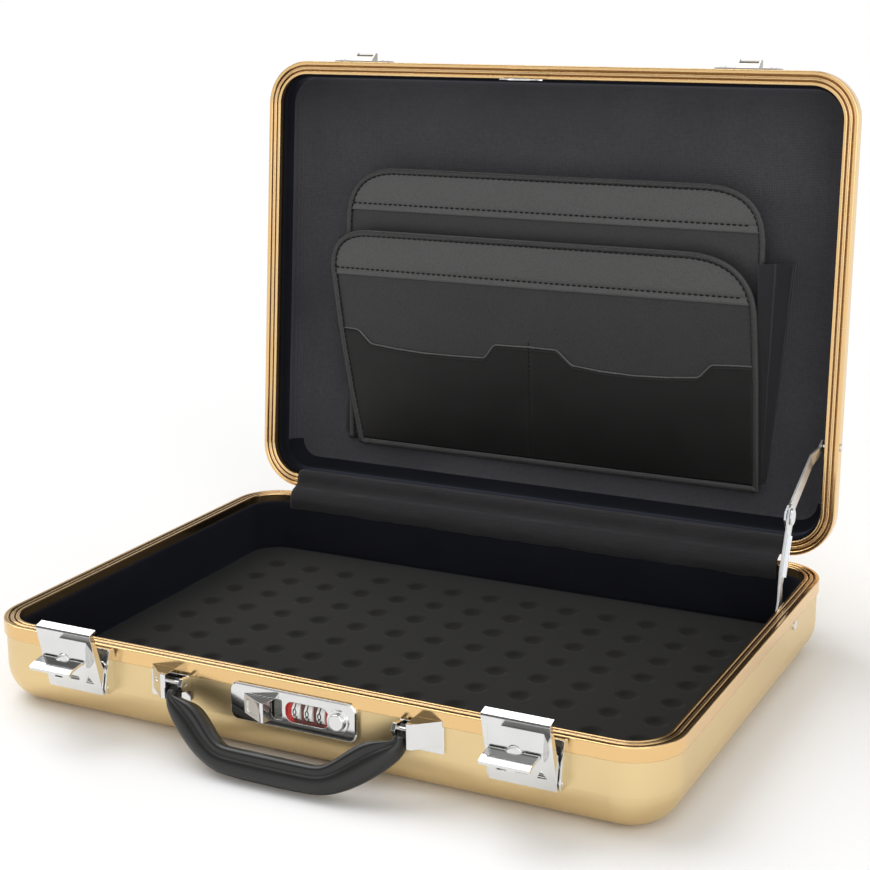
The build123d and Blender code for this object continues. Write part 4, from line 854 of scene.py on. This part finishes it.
def hinge_cover():
    lo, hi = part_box("hinge_cover")
    y_in = D / 2 - LINE
    a, b = lid(0, y_in - 1.0, 6.4), lid(0, y_in - 0.9, 2.6)
    run = [Vector((0, y, z)) for y, z in ((y_in - 0.5, 44.6), (y_in - 0.7, 52.0), (y_in + 3.0, 58.2), (y_in + 10.5, 61.4))]
    run += [Vector((0, b.y / MM - 5.0, b.z / MM - 1.2)), b / MM, a / MM]
    pts = []
    full = [run[0] * 2 - run[1]] + run + [run[-1] * 2 - run[-2]]
    for k in range(1, len(full) - 2):
        p0, p1, p2, p3 = full[k - 1:k + 3]
        for i in range(6):
            t = i / 6
            pts.append(0.5 * ((2 * p1) + (p2 - p0) * t + (2 * p0 - 5 * p1 + 4 * p2 - p3) * t * t + (3 * p1 - p0 - 3 * p2 + p3) * t ** 3))
    pts.append(run[-1])
    nv = len(pts)
    nor = []
    for i in range(nv):
        t = (pts[min(i + 1, nv - 1)] - pts[max(i - 1, 0)]).normalized()
        nor.append(Vector((0, -t.z, t.y)))
    nu = 150
    x0, x1 = lo.x / MM + 0.5, hi.x / MM - 0.5
    front, back = [], []
    for j in range(nv):
        s = j / (nv - 1)
        for i in range(nu):
            x = x0 + (x1 - x0) * i / (nu - 1)
            env = math.sin(math.pi * min(1, s * 1.05)) ** 0.6 if s < 0.95 else 0.0
            e = env * (1.2 * wob((x * 0.8, s * 80, 0), 0.035, 50.0) + 0.55 * wob((x, s * 90, 0), 0.11, 60.0)) + 0.6 * env
            hem = (1.3 * wob((x, 0, 0), 0.045, 70.0) + 0.5 * wob((x, 0, 0), 0.16, 71.0)) * max(0.0, 1 - s * 5)
            p = pts[j] + nor[j] * e + Vector((x, 0, hem))
            front.append(p * MM)
            back.append((p - nor[j] * 0.55) * MM)
    v, f = slab(front, back, nu, nv)
    o = make("hinge_cover_cloth", v, f, mats["hinge_cloth"], None)
    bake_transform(o)
    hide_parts("hinge_cover")
    return o


hinge_cover()

# ---------------------------------------------------------------- handle mouldings
_hp = Vector(JOINT["handle_swing"]["pos_m"])
_hl = math.radians(31.0)
H_DOWN = Vector((0, -math.sin(_hl), -math.cos(_hl)))
H_OUT = Vector((0, -math.cos(_hl), math.sin(_hl)))


def handle_at(x, w, t):
    """x across, w from the pivots down to the grip, t out of the grip's face. Millimetres."""
    return Vector((x * MM, _hp.y, _hp.z)) + H_DOWN * (w * MM) + H_OUT * (t * MM)


# outer edge, inner edge, and how far the section has grown from the thin tongue (0) to the full grip (1)
STATIONS = [((80.3, -3.0), (74.2, -3.0), 0), ((80.3, 0.5), (74.2, 0.5), 0), ((80.3, 4.2), (74.2, 3.8), 0), ((80.0, 4.9), (73.6, 4.6), 0.75),
            ((79.8, 9.4), (73.0, 7.2), 0.9), ((77.4, 16.0), (67.6, 8.3), 1), ((72.2, 22.6), (60.4, 9.6), 1), ((65.6, 28.6), (53.8, 12.6), 1),
            ((58.2, 34.2), (46.8, 18.2), 1), ((50.2, 39.2), (40.6, 23.8), 1), ((41.8, 43.0), (35.2, 27.6), 1), ((33.0, 45.2), (30.0, 29.1), 1),
            ((22.0, 46.0), (21.0, 29.3), 1), ((10.0, 46.3), (10.0, 29.3), 1), ((0.0, 46.3), (0.0, 29.3), 1)]
FRONT = [(0.03, 0.75), (0.00, 1.9), (0.01, 3.9), (0.05, 5.7), (0.12, 7.1), (0.20, 7.6), (0.28, 7.2), (0.345, 6.4), (0.38, 5.75), (0.41, 5.75),
         (0.47, 6.25), (0.56, 6.45), (0.68, 6.2), (0.80, 5.4), (0.89, 4.1), (0.945, 2.6), (0.965, 1.3), (0.955, 0.75)]
BACK = [(0.985, 0.55), (1.0, -0.6), (0.99, -2.2), (0.95, -4.0), (0.87, -5.3), (0.76, -5.9), (0.5, -6.0), (0.26, -5.9), (0.12, -5.2), (0.04, -3.8),
        (0.01, -2.0), (0.015, -0.4), (0.03, 0.55)]


def handle_piece(name, section, node):
    half = [(Vector(o), Vector(i), g) for o, i, g in STATIONS]
    full = half + [(Vector((-o.x, o.y)), Vector((-i.x, i.y)), g) for o, i, g in half[-2::-1]]
    fine = []
    for k in range(len(full) - 1):
        p = [full[max(k - 1, 0)], full[k], full[k + 1], full[min(k + 2, len(full) - 1)]]
        soft = abs(p[1][0].x) < 79.9 and abs(p[2][0].x) < 79.9
        for q in range(5 if soft else 2):
            t = q / (5 if soft else 2)
            if soft:
                w = (-t / 2 + t * t - t ** 3 / 2, 1 - 2.5 * t * t + 1.5 * t ** 3, t / 2 + 2 * t * t - 1.5 * t ** 3, -t * t / 2 + t ** 3 / 2)
            else:
                w = (0, 1 - t, t, 0)
            fine.append((sum((p[a][0] * w[a] for a in range(4)), Vector((0, 0))), sum((p[a][1] * w[a] for a in range(4)), Vector((0, 0))),
                         p[1][2] + (p[2][2] - p[1][2]) * t))
    fine.append(full[-1])
    verts = []
    for o, i, g in fine:
        for u, t in section:
            lo_t, hi_t = -3.4, 0.55
            tt = min(max(t, lo_t), hi_t if section is BACK else 0.8) * (1 - g) + t * g
            p = i + (o - i) * u
            verts.append(handle_at(p.x, p.y, tt))
    n = len(section)
    faces = grid_faces(n, len(fine), wrap=True, flip=section is FRONT)
    faces.append(tuple(range(n)) if section is FRONT else tuple(range(n))[::-1])
    last = (len(fine) - 1) * n
    faces.append(tuple(last + k for k in range(n))[::-1] if section is FRONT else tuple(last + k for k in range(n)))
    import bmesh
    o = make(name, verts, faces, mats["black_plastic"], "handle")
    bm = bmesh.new()
    bm.from_mesh(o.data)
    bmesh.ops.recalc_face_normals(bm, faces=bm.faces)
    bm.to_mesh(o.data)
    bm.free()
    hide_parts(node)
    return o


handle_piece("handle_grip_moulding", FRONT, "handle_grip")
handle_piece("handle_back_moulding", BACK, "handle_back")

# ---------------------------------------------------------------- dial numbers
for n in range(3):
    node = "lock_dial_" + str(n + 1)
    j = JOINT["dial_" + str(n + 1) + "_turn"]
    cx, cy, cz = j["pos_m"]
    lo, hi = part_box(node)
    x_mid = lo.x + (hi.x - lo.x) * 0.36
    apothem = 0.006 * math.cos(math.radians(18))
    parts_v, parts_f = [], []
    for d in range(10):
        cu = bpy.data.curves.new("digit", "FONT")
        cu.body = str(d)
        cu.size = 0.0056
        cu.align_x, cu.align_y = "CENTER", "CENTER"
        cu.extrude = 0.00006
        cu.offset = 0.00008
        cu.resolution_u = 4
        tmp = bpy.data.objects.new("digit", cu)
        bpy.context.scene.collection.objects.link(tmp)
        bpy.context.view_layer.update()
        me = bpy.data.meshes.new_from_object(tmp)
        # facet d faces forward when the wheel is turned to d; the next number sits above
        a = math.radians(180 - 36 * d)
        nrm = Vector((0, math.cos(a), math.sin(a)))
        up = Vector((0, math.sin(a), -math.cos(a)))
        base = len(parts_v)
        for v in me.vertices:
            p = Vector((x_mid, cy, cz)) + nrm * (apothem + 0.00002 + v.co.z) + up * v.co.y + Vector((v.co.x, 0, 0))
            parts_v.append(p)
        parts_f += [tuple(base + i for i in f.vertices) for f in me.polygons]
        bpy.data.objects.remove(tmp)
        bpy.data.meshes.remove(me)
        bpy.data.curves.remove(cu)
    o = make(node + "_numbers", parts_v, parts_f, ink, "dial_" + str(n + 1), smooth=False)

# ---------------------------------------------------------------- stage, light, camera


def floor():
    """Plain pale floor, larger than any view of it."""
    m = Mat("studio_sweep", (0.87, 0.87, 0.87), 0.9)
    m.colour(m.mix(m.noise(0.7, 2.0), (0.865, 0.865, 0.865), (0.875, 0.875, 0.875)))
    m.set(Specular_IOR_Level=0.1)
    o = make("studio_floor", [(-80, -80, 0), (80, -80, 0), (80, 80, 0), (-80, 80, 0)], [(0, 1, 2, 3)], m.m, None)


floor()

world = bpy.data.worlds.new("studio")
bpy.context.scene.world = world
world.use_nodes = True
nt = world.node_tree
bg = nt.nodes["Background"]
tc = nt.nodes.new("ShaderNodeTexCoord")
sep = nt.nodes.new("ShaderNodeSeparateXYZ")
ramp = nt.nodes.new("ShaderNodeValToRGB")
nt.links.new(tc.outputs["Generated"], sep.inputs[0])
nt.links.new(sep.outputs["Z"], ramp.inputs[0])
nt.links.new(ramp.outputs[0], bg.inputs["Color"])
ramp.color_ramp.elements[0].position, ramp.color_ramp.elements[0].color = 0.0, (0.95, 0.95, 0.95, 1)
ramp.color_ramp.elements[1].position, ramp.color_ramp.elements[1].color = 1.0, (1.0, 1.0, 1.0, 1)
for pos, v in ((0.10, 0.92), (0.26, 0.80), (0.40, 0.16), (0.72, 0.14), (0.86, 0.95)):
    e = ramp.color_ramp.elements.new(pos)
    e.color = (v, v, v, 1)
bg.inputs["Strength"].default_value = 1.0


def sun(name, direction, strength, angle):
    l = bpy.data.lights.new(name, "SUN")
    l.energy = strength
    l.angle = math.radians(angle)
    o = bpy.data.objects.new(name, l)
    o.rotation_mode = "QUATERNION"
    o.rotation_quaternion = (-Vector(direction)).to_track_quat("-Z", "Y")
    bpy.context.scene.collection.objects.link(o)
    return o


# direction points from the object to the light
sun("key", (-0.70, 0.20, 0.95), 1.75, 55)
sun("right_fill", (0.95, -0.25, 0.45), 0.45, 70)
sun("front_fill", (0.45, -0.9, 0.55), 0.95, 60)

cam = bpy.data.cameras.new("camera")
cam.sensor_width = 36.0
cam.lens = 73.63
cam.shift_x, cam.shift_y = -0.00195, -0.10
cam.clip_start, cam.clip_end = 0.05, 50
co = bpy.data.objects.new("camera", cam)
bpy.context.scene.collection.objects.link(co)
az, el, roll = math.radians(26.72), math.radians(12.06), math.radians(-0.41)
backv = Vector((math.sin(az) * math.cos(el), -math.cos(az) * math.cos(el), math.sin(el)))
right = (-backv).cross(Vector((0, 0, 1))).normalized()
upv = right.cross(-backv)
cx = right * math.cos(roll) + upv * math.sin(roll)
cy = -right * math.sin(roll) + upv * math.cos(roll)
co.matrix_world = Matrix(((cx.x, cy.x, backv.x, 0.51287), (cx.y, cy.y, backv.y, -0.99491), (cx.z, cy.z, backv.z, 0.46001), (0, 0, 0, 1)))
bpy.context.scene.camera = co
bpy.context.scene.view_settings.view_transform = "Standard"
bpy.context.scene.view_settings.look = "None"
